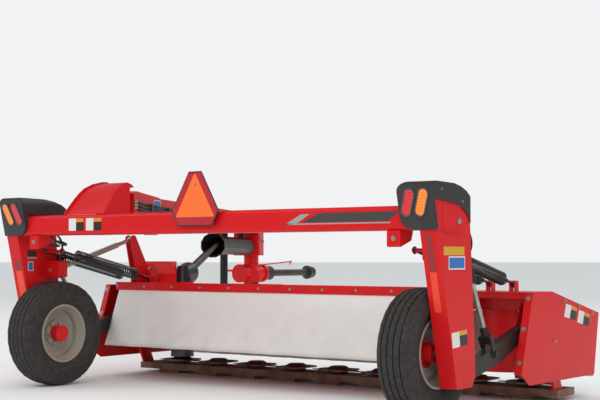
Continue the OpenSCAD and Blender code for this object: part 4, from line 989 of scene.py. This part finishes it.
addSolid("tongueLines", bm, "tongue", ["hoseRubber", "zincPlate", "guardPlastic"])

# Glands that close the lift rods' forks, at distances from the upper pin
glands = {"x": 1.860, "form": [(0.620, 0.0195), (0.626, 0.0265), (0.676, 0.0265), (0.690, 0.0265)]}
bm = bmesh.new()
for side in both:
    pin = Vector((side * glands["x"], lift["pin"].y, lift["pin"].z))
    turned(bm, pin, lift["line"], glands["form"], sides=20)
addSolid("rodGlands", bm, "lift_rods", ["blackEnamel"])

# Formed lines from the crossbeam to the lift cylinders: one that both sides have, two on the left
liftLines = {
    "wire": 0.0085, "fitting": [(0.034, 0.0125), (0.004, 0.0125), (0.0, 0.010)],
    "routes": [
        (both, [(1.860, 0.345, 1.205), (1.860, 0.405, 1.190), (1.860, 0.470, 1.150),
                (1.860, 0.510, 1.095), (1.860, 0.508, 1.045), (1.860, 0.480, 1.015),
                (1.860, 0.458, 1.004)]),
        ((-1,), [(1.600, 0.085, 1.152), (1.606, 0.120, 1.115), (1.625, 0.185, 1.083),
                 (1.655, 0.270, 1.072), (1.695, 0.330, 1.072), (1.745, 0.345, 1.082),
                 (1.802, 0.325, 1.090)]),
        ((-1,), [(1.560, 0.120, 1.152), (1.562, 0.165, 1.115), (1.575, 0.235, 1.090),
                 (1.610, 0.315, 1.080), (1.660, 0.368, 1.088), (1.720, 0.372, 1.104),
                 (1.802, 0.345, 1.118)]),
    ],
}


# Smooths a list of points into a curve through all of them
def smoothPath(points, steps=5):
    ends = [points[0] * 2 - points[1]] + points + [points[-1] * 2 - points[-2]]
    path = []
    for a, b, c, d in zip(ends, ends[1:], ends[2:], ends[3:]):
        for k in range(steps):
            t = k / steps
            path.append(0.5 * (2 * b + (c - a) * t + (2 * a - 5 * b + 4 * c - d) * t * t
                               + (3 * b - a - 3 * c + d) * t * t * t))
    return path + [points[-1]]


bm = bmesh.new()
for sides, route in liftLines["routes"]:
    for side in sides:
        points = [Vector((side * x, y, z)) for x, y, z in route]
        tube(bm, smoothPath(points), liftLines["wire"], sides=10)
        turned(bm, points[-1], (points[-2] - points[-1]).normalized(), liftLines["fitting"],
               look=1, sides=6)
addSolid("liftLines", bm, "carrier", ["hoseRubber", "zincPlate"])

# Latches of the legs' service panels: a round seat and a wing on it
latches = {"y": 0.251, "z": 1.205, "out": 0.003,
           "seat": [(0.0, 0.020), (0.006, 0.020), (0.009, 0.016)],
           "wing": (0.238, 0.264), "wingOut": 0.010, "wingR": 0.003}
bm = bmesh.new()
for side in both:
    x = side * (leg["outside"] + latches["out"])
    turned(bm, (x, latches["y"], latches["z"]), (side, 0, 0), latches["seat"], sides=20)
    tube(bm, [(x + side * latches["wingOut"], y, latches["z"]) for y in latches["wing"]],
         latches["wingR"], sides=8)
addSolid("panelLatches", bm, "carrier", ["zincPlate"])
print("lines and small pieces made")

makeCamera()
makeWorld()
makeFloor()
makeLamps()
print("camera and studio made")
